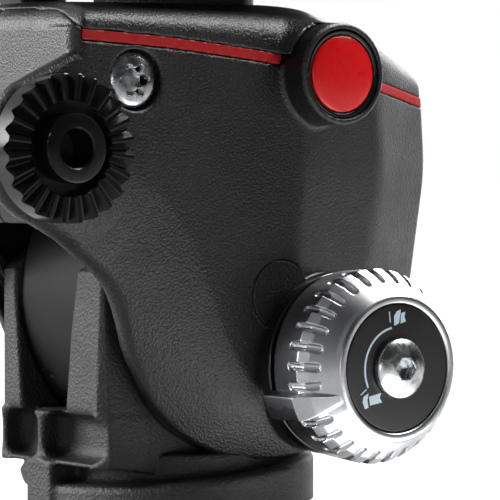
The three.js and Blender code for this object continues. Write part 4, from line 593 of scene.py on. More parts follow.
def level_fluid():
    material, tree, shader = principled("level_fluid", (0.62, 0.80, 0.08), 0.08)
    shader.inputs["Transmission Weight"].default_value = 0.6
    shader.inputs["IOR"].default_value = 1.45
    swirl = clouds(tree, 0.3, Detail=2.0)
    varied_colour(tree, shader, swirl, (0.55, 0.72, 0.06), (0.68, 0.85, 0.12))
    return material


LEVEL = level_fluid()


# Head form: what the shells, stripe and hood share

def lean(z):
    below = -(NOSE_SPLIT - z) * LEAN_BELOW
    above = -(z - NOSE_SPLIT) * LEAN_ABOVE
    return -soft_max(-below, -above, 1.2)


def wall_plane(x, y, start, end):
    along_x, along_y = end[0] - start[0], end[1] - start[1]
    length = math.hypot(along_x, along_y)
    return ((x - start[0]) * along_y - (y - start[1]) * along_x) / length


def plan_form(x, y, z):
    """Distance outside the plan outline; x is taken as a distance from the middle."""
    tip = lean(z)
    side = x - HALF_WIDTH
    facet = wall_plane(x, y - tip * (0.5 + 0.5 * np.clip((y - CREASE_Y) / (FACET_Y - CREASE_Y), 0, 1)),
                       (HALF_WIDTH, CREASE_Y), (FACET_X, FACET_Y))
    nose_side = wall_plane(x, y - tip, (FACET_X, FACET_Y), (NOSE_HALF, NOSE_Y))
    front = y - tip - NOSE_Y
    flank = soft_max(side, facet, 0.7)
    flank = soft_max(flank, nose_side, 0.35)
    flank = soft_max(flank, front, 1.6)
    return rounded_common(flank, REAR - y, REAR_CORNER)


crease_points = smooth_line(CREASE_LINE, 6)
scoop_region = crease_points + [(90, 26), (90, -60), (-120, -60), (-120, 92)]


def seam_rise(x, y):
    """How far the seam under the hood climbs from the stripe's start round the rear corner."""
    behind = np.maximum(STRIPE_START - y, 0)
    inward = np.maximum(HALF_WIDTH - SEAM_MARGIN - x, 0)
    climb = SEAM_CLIMB[0] * behind + SEAM_CLIMB[1] * inward
    return climb * np.clip((STRIPE_START + SEAM_RUN_IN - y) / SEAM_RUN_IN, 0, 1)


def scoop_depth(y, z):
    """How far the flank lies inside the side plane: a slow shoulder, a crease, then the fall."""
    away = -outline_distance(y, z, scoop_region)
    slope = np.interp(z, FALL_HEIGHTS, FALL_SLOPES)
    shoulder = SHOULDER_CURVE * np.maximum(SHOULDER_WIDTH + np.minimum(away, 0), 0) ** 2
    fall = np.maximum(away, 0)
    return shoulder + slope * (0.94 * fall + 0.005 * fall * fall)


ear_arc = arc_points((EAR_Y, EAR_Z), EAR_RADIUS, 124, 252, 40)
shell_arc = arc_points((TILT_Y, TILT_Z), ARC_RADIUS, ARC_FROM, ARC_TO, 48)
tail_curve = smooth_line([ear_arc[-1], EAR_HEEL, TAIL_KNEE, TAIL_FOOT, shell_arc[0]], 10)
shell_outline = [
    *shell_arc[4:],
    (FACET_Y, 50.0), (NOSE_Y + 2, 51.0), (NOSE_Y + 2, 160.0), (REAR - 2, 160.0), (REAR - 2, EAR_Z - 9),
    *[(y + TAIL_INSET[0], z + TAIL_INSET[1]) for y, z in tail_curve[10:-6]],
]
ear_outline = [
    (REAR + 1.2, EAR_Z + EAR_TOP_RISE), *ear_arc, *tail_curve[1:], *shell_arc[1:8],
    (EAR_ROOT_Y, shell_arc[8][1]),
    (EAR_ROOT_Y, EAR_Z + EAR_TOP_RISE),
]


def shell_field(x, y, z, with_knob):
    inner_x = (FORK_RIGHT if with_knob else FORK_LEFT) + FORK_PLAY
    flank = plan_form(x, y, z)
    from_rosette = np.hypot(y - EAR_Y, z - EAR_Z)
    depth = scoop_depth(y, z) * np.clip((from_rosette - ROSETTE_SEAT_RADIUS) / ROSETTE_SEAT_FADE, 0, 1)
    side = x - (HALF_WIDTH - depth)
    scooped = np.maximum(flank, side)
    outline = outline_distance(y, z, shell_outline)
    body = rounded_common(scooped, outline, 0.6)
    ear = rounded_common(outline_distance(y, z, ear_outline), side, np.interp(z, *TAIL_ROLL))
    ear_back = np.maximum(inner_x, HALF_WIDTH - depth - EAR_THICKNESS)
    body = np.minimum(body, rounded_common(ear, ear_back - x, 0.4))
    hollow = np.maximum(np.maximum(flank + WALL, side + WALL), outline + WALL)
    body = rounded_cut(body, hollow, 0.3)
    room = np.hypot(y - TILT_Y, z - TILT_Z)
    ahead = room - np.interp(z, *FRONT_ROOM)
    swept = np.maximum(np.minimum(ahead, np.maximum(room - SWEEP_RADIUS, y - TILT_Y)), x - inner_x)
    body = rounded_cut(body, swept, 0.5)
    if with_knob:
        boss = cylinder_x(x, y, z, (KNOB_Y, KNOB_Z), KNOB_BOSS_RADIUS, inner_x + 0.3, KNOB_BOSS_END)
        body = rounded_join(body, np.maximum(boss, room - ARC_RADIUS), 0.4)
    body = np.maximum(body, z - stripe_height(y) + SHELL_DROP - seam_rise(x, y))
    body = np.maximum(body, np.minimum(hood_outer(x, y, z), z - stripe_height(y)))
    rebate = np.maximum(stripe_height(y) - STRIPE_HEIGHT - 0.7 - z, -flank - STRIPE_DEPTH - 0.3)
    rebate = np.maximum(rebate, STRIPE_START - 0.1 - y)
    body = rounded_cut(body, rebate, 0.15)
    away = np.hypot(y - BADGE_Y, z - BADGE_Z)
    boss = rounded_common(away - BADGE_BOSS_RADIUS, x - BADGE_BOSS_END, 1.0)
    boss = np.maximum(boss, BADGE_BOSS_START - x)
    body = rounded_join(body, boss, 1.2)
    seat = np.maximum(away - BADGE_SEAT_RADIUS, BADGE_BOSS_END - 3 - x)
    body = rounded_cut(body, seat, 0.35)
    screw = cylinder_x(x, y, z, (SCREW_Y, SCREW_Z), SCREW_RADIUS + SCREW_PLAY, SCREW_SEAT, OUTSIDE)
    body = rounded_cut(body, screw, 0.3)
    cap = cylinder_x(x, y, z, (TILT_Y, TILT_Z), CAP_RADIUS + CAP_PLAY, CAP_SEAT, OUTSIDE)
    body = rounded_cut(body, cap, 0.15)
    return np.maximum(body, 0.15 - x)


def make_shells():
    low, high = (-0.5, -69, 14), (39, 66, 112)
    for word, with_knob in (("right", True), ("left", False)):
        piece = field_piece(f"{word}_shell_skin", lambda x, y, z: shell_field(x, y, z, with_knob), low, high,
                            SHELL_STEP, "tilt_head", SHELL_PLASTIC, mirror=word == "left")
        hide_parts(f"{word}_shell")


def stripe_field(x, y, z):
    across = np.abs(x)
    flank = plan_form(across, y, z)
    line = stripe_height(y)
    band = np.abs(z - line + STRIPE_DROP + STRIPE_HEIGHT / 2) - STRIPE_HEIGHT / 2
    band = rounded_common(band, flank, 0.2)
    band = rounded_cut(band, flank + STRIPE_DEPTH, 0.1)
    away = np.hypot(y - BADGE_Y, z - BADGE_Z)
    band = np.maximum(band, STRIPE_START - y)
    return np.maximum(band, BADGE_BOSS_RADIUS + 0.8 - away)


def stripe_behind(x, y, z):
    return np.maximum(np.maximum(stripe_field(x, y, z), y - BADGE_Y), STRIPE_INSIDE - x)


def stripe_ahead(x, y, z):
    return np.maximum(stripe_field(x, y, z), BADGE_Y - y)


def make_stripes():
    for word in ("right", "left"):
        piece = field_piece(f"stripe_{word}_band", stripe_behind, (26, -46, 96), (31, 18, 108),
                            FINE_STEP * 1.5, "tilt_head", RED_PAINT, 50, mirror=word == "left")
        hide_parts(f"red_stripe_{word}")
    piece = field_piece("stripe_front_band", stripe_ahead, (-31, 16, 88), (31, 66, 104), FINE_STEP * 2,
                        "tilt_head", RED_PAINT, 50)
    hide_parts("red_stripe_front")


def hood_arch(x, y, z, wall):
    """Distance outside an arch over the head, drawn in by a wall's thickness."""
    base = stripe_height(y) - HOOD_DROP
    reach = np.maximum(half_width_at(y), 1.0)
    rise = roof_height(y) - stripe_height(y)
    wide, tall = np.maximum(reach - wall, 0.5), np.maximum(rise - wall, 0.5)
    share = (np.abs(x) / wide) ** ARCH_POWER + (np.maximum(z - base, 0) / tall) ** ARCH_POWER
    return (share ** (1 / ARCH_POWER) - 1) * np.minimum(reach, rise)


def hood_rake(y, z):
    rise = roof_height(y) - stripe_height(y)
    return (np.clip((z - stripe_height(y) + HOOD_DROP) / (rise + 1), 0, 1) ** 2) * HOOD_RAKE


def hood_outer(x, y, z):
    outer = rounded_common(hood_arch(x, y, z, 0), REAR + hood_rake(y, z) - y, 3.2)
    return rounded_common(outer, y - NOSE_Y - lean(stripe_height(y)), 2.0)


def hood_field(x, y, z):
    across = np.abs(x)
    base = stripe_height(y) - HOOD_DROP + seam_rise(across, y)
    away = np.hypot(y - BADGE_Y, z - BADGE_Z)
    collar = np.maximum(away - BADGE_BOSS_RADIUS - 0.3, across - HALF_WIDTH - 2)
    outer = rounded_join(hood_outer(x, y, z), collar, 3.0)
    inner = np.maximum(hood_arch(x, y, z, WALL), REAR + WALL + hood_rake(y, z) - y)
    inner = np.maximum(inner, y - NOSE_Y + WALL + 1)
    body = np.maximum(np.maximum(outer, -inner), base - z)
    body = rounded_cut(body, np.maximum(away - BADGE_BOSS_RADIUS - 0.12, 15 - across), 0.1)
    neck = np.hypot(x, y - 0.25) - 17.3
    return rounded_cut(body, neck, 0.4)


def half_width_at(y):
    tip = lean(stripe_height(y))
    crease, facet, nose = CREASE_Y + tip / 2, FACET_Y + tip, NOSE_Y + tip
    first = HALF_WIDTH - (HALF_WIDTH - FACET_X) * (y - crease) / (facet - crease)
    second = FACET_X - (FACET_X - NOSE_HALF) * (y - facet) / (nose - facet)
    return -soft_max(soft_max(-first, -second, 0.8), -HALF_WIDTH + 0 * y, 1.2)


def make_hood():
    piece = field_piece("top_hood_skin", hood_field, (-33, -46, 91), (33, 66, 114), SHELL_STEP, "tilt_head",
                        SHELL_PLASTIC)
    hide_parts("top_hood")


# Castings

fork_outline = [
    (FORK_REAR, SKIRT_BOTTOM - 3), (FORK_FRONT, SKIRT_BOTTOM - 3), (FORK_FRONT, 15.3), (TILT_Y + 27, TILT_Z),
    *arc_points((TILT_Y, TILT_Z), FORK_EAR_RADIUS, 8, 150, 40),
    (FORK_REAR + 2.3, FORK_SHOULDER + 1), (FORK_REAR, FORK_SHOULDER - 1),
]
web_outline = [
    (FORK_REAR + 12, WEB_BOTTOM), (WEB_REAR, WEB_BOTTOM), (WEB_REAR, WEB_TOP), (FORK_REAR + 12, WEB_TOP),
]
rib_outline = [
    (RIB_FRONT, SKIRT_BOTTOM - 3), (RIB_REAR, SKIRT_BOTTOM - 3), (RIB_REAR, WEB_BOTTOM + 1),
    (RIB_FRONT, WEB_BOTTOM + 1),
]


def pan_body_field(x, y, z):
    radius = np.hypot(x, y)
    top = SKIRT_MID_TOP + SKIRT_SLOPE * y
    skirt = rounded_common(radius - BASE_RADIUS, z - top, 1.4)
    across = span(x, FORK_LEFT, FORK_RIGHT)
    fork = rounded_common(outline_distance(y, z, fork_outline), across, 1.1)
    corner = (x - FORK_RIGHT + FORK_REAR - y + np.interp(z, *CHEEK_CHAMFER)) / math.sqrt(2)
    fork = np.maximum(fork, corner)
    sag = LIP_RADIUS - np.hypot(y - LIP_Y, z - LIP_LOW - LIP_RADIUS)
    fork = np.maximum(fork, -sag)
    web = np.maximum(rounded_common(outline_distance(y, z, web_outline), across, 0.9), corner)
    core = rounded_common(radius - CORE_RADIUS, z - CORE_TOP, 1.0)
    rib = rounded_common(outline_distance(y, z, rib_outline), np.abs(x + RIB_HALF) - RIB_HALF, 0.9)
    boss = np.hypot(y, z - LOCK_HEIGHT) - LOCK_BOSS_RADIUS
    boss = rounded_common(boss, np.maximum(x, -LOCK_BOSS_END - x), 0.8)
    body = rounded_join(rounded_join(np.minimum(fork, core), web, 0.6), rib, 1.2)
    for middle, half in POCKETS:
        sizes = ((x - middle, half), (y - WEB_REAR, POCKET_DEPTH), (z - POCKET_Z, POCKET_HALF_HEIGHT))
        beyond = [np.maximum(np.abs(away) - reach + POCKET_ROUNDING, 0) for away, reach in sizes]
        bowl = np.sqrt(beyond[0] ** 2 + beyond[1] ** 2 + beyond[2] ** 2) - POCKET_ROUNDING
        body = rounded_cut(body, bowl, 1.6)
    body = rounded_join(body, skirt, 1.6)
    body = rounded_join(body, boss, 1.5)
    gap = span(x, DRUM_LEFT + SLOT_PLAY, DRUM_RIGHT + SLOT_PLAY)
    slot = np.maximum(gap, np.hypot(y - TILT_Y, z - TILT_Z) - DRUM_RADIUS - 0.4)
    right_room = x - DRUM_RIGHT - SLOT_PLAY + np.interp(z, *CHEEK_DRAFT)
    left_room = -DRUM_LEFT - SLOT_PLAY - x + np.interp(z, [WEB_TOP, TILT_Z], [MOUTH_DRAFT, 0])
    mouth = np.maximum(np.maximum(right_room, left_room), WEB_TOP - z)
    body = rounded_cut(body, np.minimum(slot, mouth), 0.9)
    cavity = np.maximum(radius - SKIRT_ROOM_RADIUS, z - SKIRT_ROOM_TOP)
    body = rounded_cut(body, cavity, 0.3)
    body = rounded_cut(body, np.hypot(y - TILT_Y, z - TILT_Z) - AXLE_BORE, 0.3)
    bore = np.maximum(np.hypot(y, z - LOCK_HEIGHT) - LOCK_BORE, x)
    body = np.maximum(body, -bore)
    return rounded_common(body, SKIRT_BOTTOM - z, 0.5)


def tilt_frame_field(x, y, z):
    room = np.hypot(y - TILT_Y, z - TILT_Z)
    width = span(x, DRUM_LEFT, DRUM_RIGHT)
    drum = rounded_common(room - DRUM_RADIUS, width, 0.5)
    dish = np.maximum(np.abs(room - DRUM_DISH_RADIUS) - DRUM_DISH_HALF, -width - DRUM_HUB_INSET)
    drum = rounded_cut(drum, dish, 0.4)
    neck_y = np.abs(y - TILT_Y) - NECK_HALF_LENGTH
    neck = rounded_common(np.abs(x) - NECK_HALF_WIDTH, neck_y, 1.5)
    neck = rounded_common(neck, np.abs(z - NECK_MIDDLE) - NECK_HALF_HEIGHT, 0.8)
    neck = np.maximum(neck, EAR_SWEEP - room)
    root = np.maximum(np.maximum(width, neck_y), np.abs(z - NECK_ROOT_MIDDLE) - NECK_ROOT_HALF_HEIGHT)
    body = rounded_join(rounded_join(drum, root, 1.0), neck, 1.0)
    body = np.maximum(body, DRUM_BORE - room)
    angle = math.radians(DRUM_MARK_ANGLE)
    tip_y, tip_z = TILT_Y + DRUM_RADIUS * math.cos(angle), TILT_Z + DRUM_RADIUS * math.sin(angle)
    rise = (y - tip_y) * math.sin(angle) - (z - tip_z) * math.cos(angle)
    slant = math.radians(DRUM_MARK_SLANT)
    along = (x - DRUM_MARK_X) * math.cos(slant) - rise * math.sin(slant)
    aside = (x - DRUM_MARK_X) * math.sin(slant) + rise * math.cos(slant)
    mark = np.maximum(np.abs(aside) - DRUM_MARK_HALF_WIDTH, np.abs(along) - DRUM_MARK_HALF_LENGTH)
    mark = np.maximum(mark, DRUM_RADIUS - DRUM_MARK_DEPTH - room)
    return rounded_cut(body, mark, 0.2)


def make_castings():
    piece = field_piece("pan_body_casting", pan_body_field, (-35.5, -37.5, 6), (31, 34.5, 80), CAST_STEP,
                        "pan_fork", CASTING)
    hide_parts("pan_body")
    piece = field_piece("tilt_frame_casting", tilt_frame_field, (-19, -30, 15), (19, 43, 99), CAST_STEP,
                        "tilt_head", DRUM_PAINT)
    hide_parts("tilt_frame")


def make_base():
    inner_wall, outer_wall = PAD_HOLE_RADIUS - PAD_PLAY, PAD_RADIUS + PAD_PLAY
    profile = rounded_profile(
        [(BASE_BORE, BASE_BOTTOM), (inner_wall, BASE_BOTTOM), (inner_wall, PAD_SEAT), (outer_wall, PAD_SEAT),
         (outer_wall, BASE_BOTTOM), (BASE_RADIUS, BASE_BOTTOM), (BASE_RADIUS, BASE_TOP),
         (BASE_ROOM_RADIUS, BASE_TOP), (BASE_ROOM_RADIUS, BASE_ROOM_FLOOR), (BASE_BORE, BASE_ROOM_FLOOR)],
        [0, 0.2, 0.2, 0.2, 0.2, 0.8, 0.8, 0.3, 0, 0])
    piece = turned_piece("base_plate_casting", lambda a: profile, "z", (0, 0, 0), "base",
                         CASTING)
    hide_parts("base_plate")
    pad = rounded_profile(
        [(PAD_HOLE_RADIUS, 0), (PAD_RADIUS, 0), (PAD_RADIUS, PAD_TOP), (PAD_HOLE_RADIUS, PAD_TOP)],
        [0.4, 0.4, 0.2, 0.2])
    piece = turned_piece("base_pad_ring", lambda a: pad, "z", (0, 0, 0), "base", RUBBER)
    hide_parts("base_pad")


# Tilt lock knob

KNOB_SEAT = 35.9
KNOB_BORE = 3.3
KNOB_COLLAR_ROOM = 19.6
GROOVE_HEIGHTS = [41.4, 45.2, 48.4]
GROOVE_FLOORS = [20.15, 19.7, 17.7]
GROOVE_START = 41.9
GROOVE_END = 48.0
GROOVE_RADIUS = 0.78
LUG_START = 34.4
LUG_END = 51.4
LUG_HEIGHTS = [LUG_START, 45.6, 47.4, LUG_END]
LUG_HALF_WIDTHS = [2.75, 2.75, 2.3, 0.7]
MARK_FACE = 51.86
MARK_THICKNESS = 0.1
knob_profile = [
    (0, KNOB_SEAT), (19.5, KNOB_SEAT), (20.1, 44.4), (18.9, 46.9), (15.5, 51.0), (14.9, 51.9), (14.4, 52.2),
    (13.5, 52.15), (13.2, 51.7), (13.2, 50.6), (0, 50.6),
]
lug_profile = [
    (14, LUG_START), (21.9, LUG_START), (21.9, 44.2), (19.7, 47.4), (15.4, LUG_END), (12, LUG_END),
]


def knob_ring_field(x, y, z):
    radius, angle = bearing_x(y, z, KNOB_Y, KNOB_Z)
    angle = angle - math.radians(LUG_ANGLE)
    turn = 2 * math.pi / KNOB_POSITIONS
    nearest = np.round(angle / turn)
    aside = radius * np.sin(angle - nearest * turn)
    body = outline_distance(radius, x, knob_profile)
    groove_floor = np.interp(x, GROOVE_HEIGHTS, GROOVE_FLOORS)
    run = np.maximum(np.maximum(GROOVE_START - x, x - GROOVE_END), 0)
    above = (radius - groove_floor) ** 2 * np.where(radius > groove_floor, 0.15, 1)
    groove = np.sqrt(above + aside ** 2 + run ** 2) - GROOVE_RADIUS
    at_lug = np.mod(nearest, KNOB_POSITIONS) == 0
    groove = np.where(at_lug, 5.0, groove)
    body = rounded_cut(body, groove, 0.18)
    lug_aside = np.abs(radius * np.sin(angle)) + np.where(np.cos(angle) < 0, 100, 0)
    half = np.interp(x, LUG_HEIGHTS, LUG_HALF_WIDTHS)
    lug = rounded_common(outline_distance(radius, x, lug_profile), lug_aside - half, 0.3)
    body = rounded_join(body, lug, 0.35)
    collar_room = np.minimum(KNOB_SEAT - x, KNOB_COLLAR_ROOM - radius)
    return np.maximum(np.maximum(body, KNOB_BORE - radius), collar_room)


def make_knob():
    place = (0, KNOB_Y, KNOB_Z)
    piece = field_piece("knob_ring_fluted", knob_ring_field, (34, KNOB_Y - 22.5, KNOB_Z - 22.5),
                        (53, KNOB_Y + 22.5, KNOB_Z + 22.5), SMALL_STEP, "tilt_lock",
                        SATIN_SILVER)
    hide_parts("tilt_knob_ring")
    disc = rounded_profile([(KNOB_BORE, 50.9), (12.95, 50.9), (12.95, 51.8), (KNOB_BORE, 51.8)],
                           [0, 0.1, 0.25, 0])
    piece = turned_piece("knob_disc_plate", lambda a: disc, "x", place, "tilt_lock",
                         BLACK_PLASTIC)
    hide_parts("tilt_knob_disc")
    make_knob_marks()
    make_knob_screw()
    collar = rounded_profile(
        [(3.4, 30.4), (19.2, 30.4), (19.2, 34.0), (17.6, 34.0), (17.6, 35.5), (3.4, 35.5)],
        [0, 0.8, 0.5, 0.3, 0.3, 0])
    piece = turned_piece("lock_collar_gloss", lambda a: collar, "x", place, "tilt_head",
                         GLOSS_BLACK)
    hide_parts("tilt_lock_collar")


MARK_ARC_RADIUS = 8.4
MARK_ARC = (100, 206)
MARK_WIDTH = 0.42
TICK_LINES = [((-2.1, 11.6), (-1.85, 9.4)), ((-8.0, -4.0), (-9.5, -5.1))]
TICK_WIDTH = 0.22
SYMBOLS = [
    [(-0.8, 8.7), (-0.9, 10.6), (-0.2, 11.6), (0.9, 12.0), (0.7, 10.8), (0.4, 9.2)],
    [(0.9, 11.2), (2.1, 11.5), (1.8, 10.5), (2.2, 9.5), (0.8, 9.1)],
    [(-8.8, -5.5), (-7.5, -4.8), (-7.8, -6.2), (-7.5, -7.7), (-8.4, -8.0), (-9.0, -6.6)],
    [(-7.4, -5.5), (-4.3, -4.9), (-4.6, -5.9), (-4.0, -6.8), (-7.1, -7.3)],
]


def make_knob_marks():
    """Printed marks: an arc, two ticks and two plain lever symbols, as thin raised prints."""
    shapes = []
    arc = [arc_points((0, 0), MARK_ARC_RADIUS + side * MARK_WIDTH / 2, *MARK_ARC, 40) for side in (-1, 1)]
    shapes += [[a0, a1, b1, b0] for a0, a1, b0, b1 in zip(arc[0], arc[0][1:], arc[1], arc[1][1:])]
    for start, end in TICK_LINES:
        run = np.array(end) - start
        aside = np.array([-run[1], run[0]]) / np.linalg.norm(run) * TICK_WIDTH / 2
        shapes.append([tuple(start - aside), tuple(end - aside), tuple(end + aside), tuple(start + aside)])
    shapes += SYMBOLS
    work = bmesh.new()
    for shape in shapes:
        corners = [work.verts.new((MARK_FACE * MM, (KNOB_Y + a) * MM, (KNOB_Z + b) * MM)) for a, b in shape]
        work.faces.new(corners)
    bmesh.ops.remove_doubles(work, verts=work.verts, dist=1e-7)
    bmesh.ops.recalc_face_normals(work, faces=work.faces)
    made = bmesh.ops.extrude_face_region(work, geom=work.faces[:])
    for vert in [v for v in made["geom"] if isinstance(v, bmesh.types.BMVert)]:
        vert.co.x -= MARK_THICKNESS * MM
    bmesh.ops.recalc_face_normals(work, faces=work.faces)
    mesh = bpy.data.meshes.new("knob_marks")
    work.to_mesh(mesh)
    work.free()
    placed("knob_marks", mesh, "tilt_lock", PRINT, 30)


def crowned_head(x, radius_at, seat, top, radius, crown_power=2.2):
    share = np.clip(radius_at / radius, 0, 1.4)
    crown = seat + (top - seat) * np.sqrt(np.maximum(1 - share ** crown_power * 0.86, 0.05))
    return np.maximum(radius_at - radius, np.maximum((x - crown) * 0.8, seat - x))


def knob_screw_field(x, y, z):
    radius, angle = bearing_x(y, z, KNOB_Y, KNOB_Z)
    head = crowned_head(x, radius, 52.1, 55.0, 6.1)
    collar = np.maximum(radius - 2.95, np.maximum(21.2 - x, x - 53))
    wedge = np.mod(angle, math.pi / 3) - math.pi / 6
    hexagon = np.maximum(radius * np.cos(wedge) - 2.0, 52.6 - x)
    return rounded_cut(np.minimum(head, collar), hexagon, 0.12)


def make_knob_screw():
    piece = field_piece("knob_screw_zinc", knob_screw_field, (20.9, KNOB_Y - 6.5, KNOB_Z - 6.5),
                        (55.4, KNOB_Y + 6.5, KNOB_Z + 6.5), FINE_STEP, "tilt_lock", ZINC, 50)
    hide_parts("tilt_knob_screw")


# Round trim on the sides

def shell_screw_field(x, y, z):
    radius, angle = bearing_x(y, z, SCREW_Y, SCREW_Z)
    head = crowned_head(x, radius, 27.6, 29.7, SCREW_RADIUS, 4.5)
    shank = np.maximum(radius - 2.5, np.maximum(18.3 - x, x - 28))
    star = np.maximum(radius - 2.9 * (1 + 0.18 * np.cos(6 * angle)), 27.7 - x)
    return rounded_cut(np.minimum(head, shank), star, 0.12)


def badge_profiles():
    floor = BADGE_BOSS_END - 2.7
    bezel = rounded_profile(
        [(0, floor), (9.0, floor), (9.0, BADGE_BOSS_END - 0.35), (BADGE_RADIUS + 0.3, BADGE_BOSS_END - 0.6),
         (BADGE_RADIUS + 0.3, floor + 1.3), (0, floor + 1.3)], [0, 0.1, 0.35, 0.2, 0, 0])
    crown = [(BADGE_RADIUS * math.cos(a), BADGE_BOSS_END - 0.7 + 1.05 * math.sin(a))
             for a in np.radians(np.linspace(0, 90, 14))]
    crown[-1] = (0, crown[-1][1])
    dome = [(0, floor + 1.6), (BADGE_RADIUS, floor + 1.6), *crown]
    return bezel, dome


def rosette_profile(angle):
    back, valley = 30.3, 33.9
    phase = (angle * ROSETTE_TEETH / (2 * math.pi)) % 1
    ridge = min(1.0, max(0.0, 1.55 * (1 - abs(2 * phase - 1)) - 0.2))
    tooth = 1.9 * ridge
    inner_rise = 0.9 + 1.0 * ridge
    return [
        (3.9, 21.0), (6.0, 21.0), (6.0, back), (14.5, back), (14.7, back + 0.2),
        (14.7, valley + tooth - 0.15), (14.55, valley + tooth), (9.6, valley + inner_rise),
        (9.4, valley + inner_rise - 0.2), (9.4, 32.2), (6.9, 32.2), (6.9, 37.0), (6.75, 37.35), (6.4, 37.5),
        (4.2, 37.5), (3.9, 37.2),
    ]


def make_side_trim():
    bezel, dome = badge_profiles()
    for word, flip in (("right", False), ("left", True)):
        place = (0, BADGE_Y, BADGE_Z)
        piece = turned_piece(f"badge_bezel_ring_{word}", lambda a: bezel, "x", place, "tilt_head",
                             GLOSS_BLACK, flip=flip)
        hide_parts(f"badge_bezel_{word}")
        piece = turned_piece(f"badge_dome_crown_{word}", lambda a: dome, "x", place, "tilt_head",
                             RED_GLOSS, flip=flip)
        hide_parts(f"badge_dome_{word}")
        piece = turned_piece(f"rosette_toothed_{word}", rosette_profile, "x", (0, EAR_Y, EAR_Z), "tilt_head",
                             ROSETTE_STEEL, segments=ROSETTE_TEETH * 16, smooth_angle=28,
                             flip=flip)
        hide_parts(f"rosette_{word}")
        piece = field_piece(f"shell_screw_star_{word}", shell_screw_field, (18, SCREW_Y - 6.1, SCREW_Z - 6.1),
                            (30.1, SCREW_Y + 6.1, SCREW_Z + 6.1), FINE_STEP, "tilt_head",
                            ZINC, 50, mirror=flip)
        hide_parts(f"shell_screw_{word}")
        cap = rounded_profile([(0, 28.0), (CAP_RADIUS, 28.0), (CAP_RADIUS, 29.96), (0, 29.96)],
                              [0, 0.2, 0.25, 0])
        piece = turned_piece(f"axle_cap_disc_{word}", lambda a: cap, "x", (0, TILT_Y, TILT_Z), "tilt_head",
                             SHELL_PLASTIC, flip=flip)
        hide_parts(f"axle_cap_{word}")


def fluted_profile(radius, length, flutes, flute_depth, bore, bore_depth):
    def profile_at(angle):
        wave = max(0.0, math.cos(angle * flutes)) ** 1.5 * flute_depth
        outer = radius - wave
        return rounded_profile(
            [(bore, 0), (radius - 2.2, 0), (outer, 1.2), (outer, length), (0, length), (0, bore_depth),
             (bore, bore_depth)], [0, 0.3, 0.8, 1.2, 0, 0, 0], 3)
    return profile_at


def make_left_knobs():
    lock = fluted_profile(9.0, 13.0, 8, 1.2, 2.3, 6.8)
    piece = turned_piece("pan_lock_grip", lock, "x", (-34.4, 0, LOCK_HEIGHT), "pan_lock",
                         BLACK_PLASTIC, segments=192, flip=True)
    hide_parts("pan_lock_knob")
    clamp = fluted_profile(7.5, 11.0, 6, 1.1, 2.3, 5.8)
    piece = turned_piece("clamp_grip", clamp, "x", (-27.4, -14.0, 118.1), "clamp",
                         BLACK_PLASTIC, segments=192, flip=True)
    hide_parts("clamp_knob")


# Nodes that keep their own solids get a small bevel and a finish

NODE_FINISHES = {
    "platform": CASTING, "release_plate": PLATE_ALLOY, "plate_pad_rear": RUBBER, "plate_pad_front": RUBBER,
    "camera_screw": STEEL, "clamp_jaw": PLATE_ALLOY, "clamp_screw": STEEL, "safety_button": RED_GLOSS,
    "bubble_level": LEVEL, "thread_insert": BRASS, "pan_spindle": STEEL, "pan_circlip": DARK_STEEL,
    "pan_washer": NYLON, "pan_drag_disc": DARK_STEEL, "pan_lock_shoe": BRASS, "pan_lock_stud": STEEL,
    "tilt_axle": STEEL, "tilt_cartridge": DARK_STEEL, "tilt_washer_right": NYLON, "tilt_washer_left": NYLON,
    "axle_screw_right": STEEL, "axle_screw_left": STEEL, "tilt_lock_shoe": BRASS,
}
NODE_BEVEL = 0.45


def finish_nodes():
    for name, node in nodes.items():
        if node.hide_render:
            continue
        node.data.materials.clear()
        node.data.materials.append(NODE_FINISHES[name])
        node.data.shade_smooth()
        node.data.set_sharp_from_angle(angle=math.radians(32))
        weld = node.modifiers.new("weld", "WELD")
        weld.merge_threshold = 0.002 * MM
        bevel = node.modifiers.new("edges", "BEVEL")
        bevel.width = NODE_BEVEL * MM
        bevel.segments = 3
        bevel.limit_method = "ANGLE"
        bevel.angle_limit = math.radians(40)
        bevel.harden_normals = True


# Camera, lights and floor

def make_camera():
    data = bpy.data.cameras.new("camera")
    data.sensor_width = SENSOR_WIDTH
    data.lens = FOCAL_PIXELS / IMAGE_PIXELS * SENSOR_WIDTH
    data.clip_start = 0.05
    data.clip_end = 20
    camera = linked("camera", data)
    camera.location = Vector(CAMERA_PLACE) * MM
    turn, dip = math.radians(CAMERA_AZIMUTH), math.radians(CAMERA_PITCH)
    ahead = Vector((-math.sin(turn) * math.cos(dip), math.cos(turn) * math.cos(dip), -math.sin(dip)))
    camera.rotation_euler = ahead.to_track_quat("-Z", "Y").to_euler()
    bpy.context.scene.camera = camera


def area_light(name, place, target, size, energy):
    data = bpy.data.lights.new(name, "AREA")
    data.shape = "RECTANGLE"
    data.size, data.size_y = size
    data.energy = energy
    light = linked(name, data)
    light.location = place
    light.rotation_euler = (Vector(target) - Vector(place)).to_track_quat("-Z", "Y").to_euler()


HEAD_MIDDLE = (0.0, 0.0, 0.06)
MIRRORED_AXIS = (0.80, 0.60, 0.0)
MIRRORED_BEHIND = 0.5
MIRRORED_IN_FRONT = 0.04
DIFFUSE_SHARE = 0.6
FLOOR_MIRRORED = 0.15
FLOOR_DISTANCES = (0.15, 0.6)
FLOOR_GLOWS = (0.72, 1.0)
FLOOR_HALF = 8.0
FLOOR_BOUNCE_PLACE = (0.105, 0.03, 0.003)
FLOOR_BOUNCE_TARGET = (0.104, 0.03, 0.1)


def around(azimuth, height, distance):
    """A place at a bearing from +X towards +Y, in degrees and metres."""
    a = math.radians(azimuth)
    return (distance * math.cos(a), distance * math.sin(a), height)


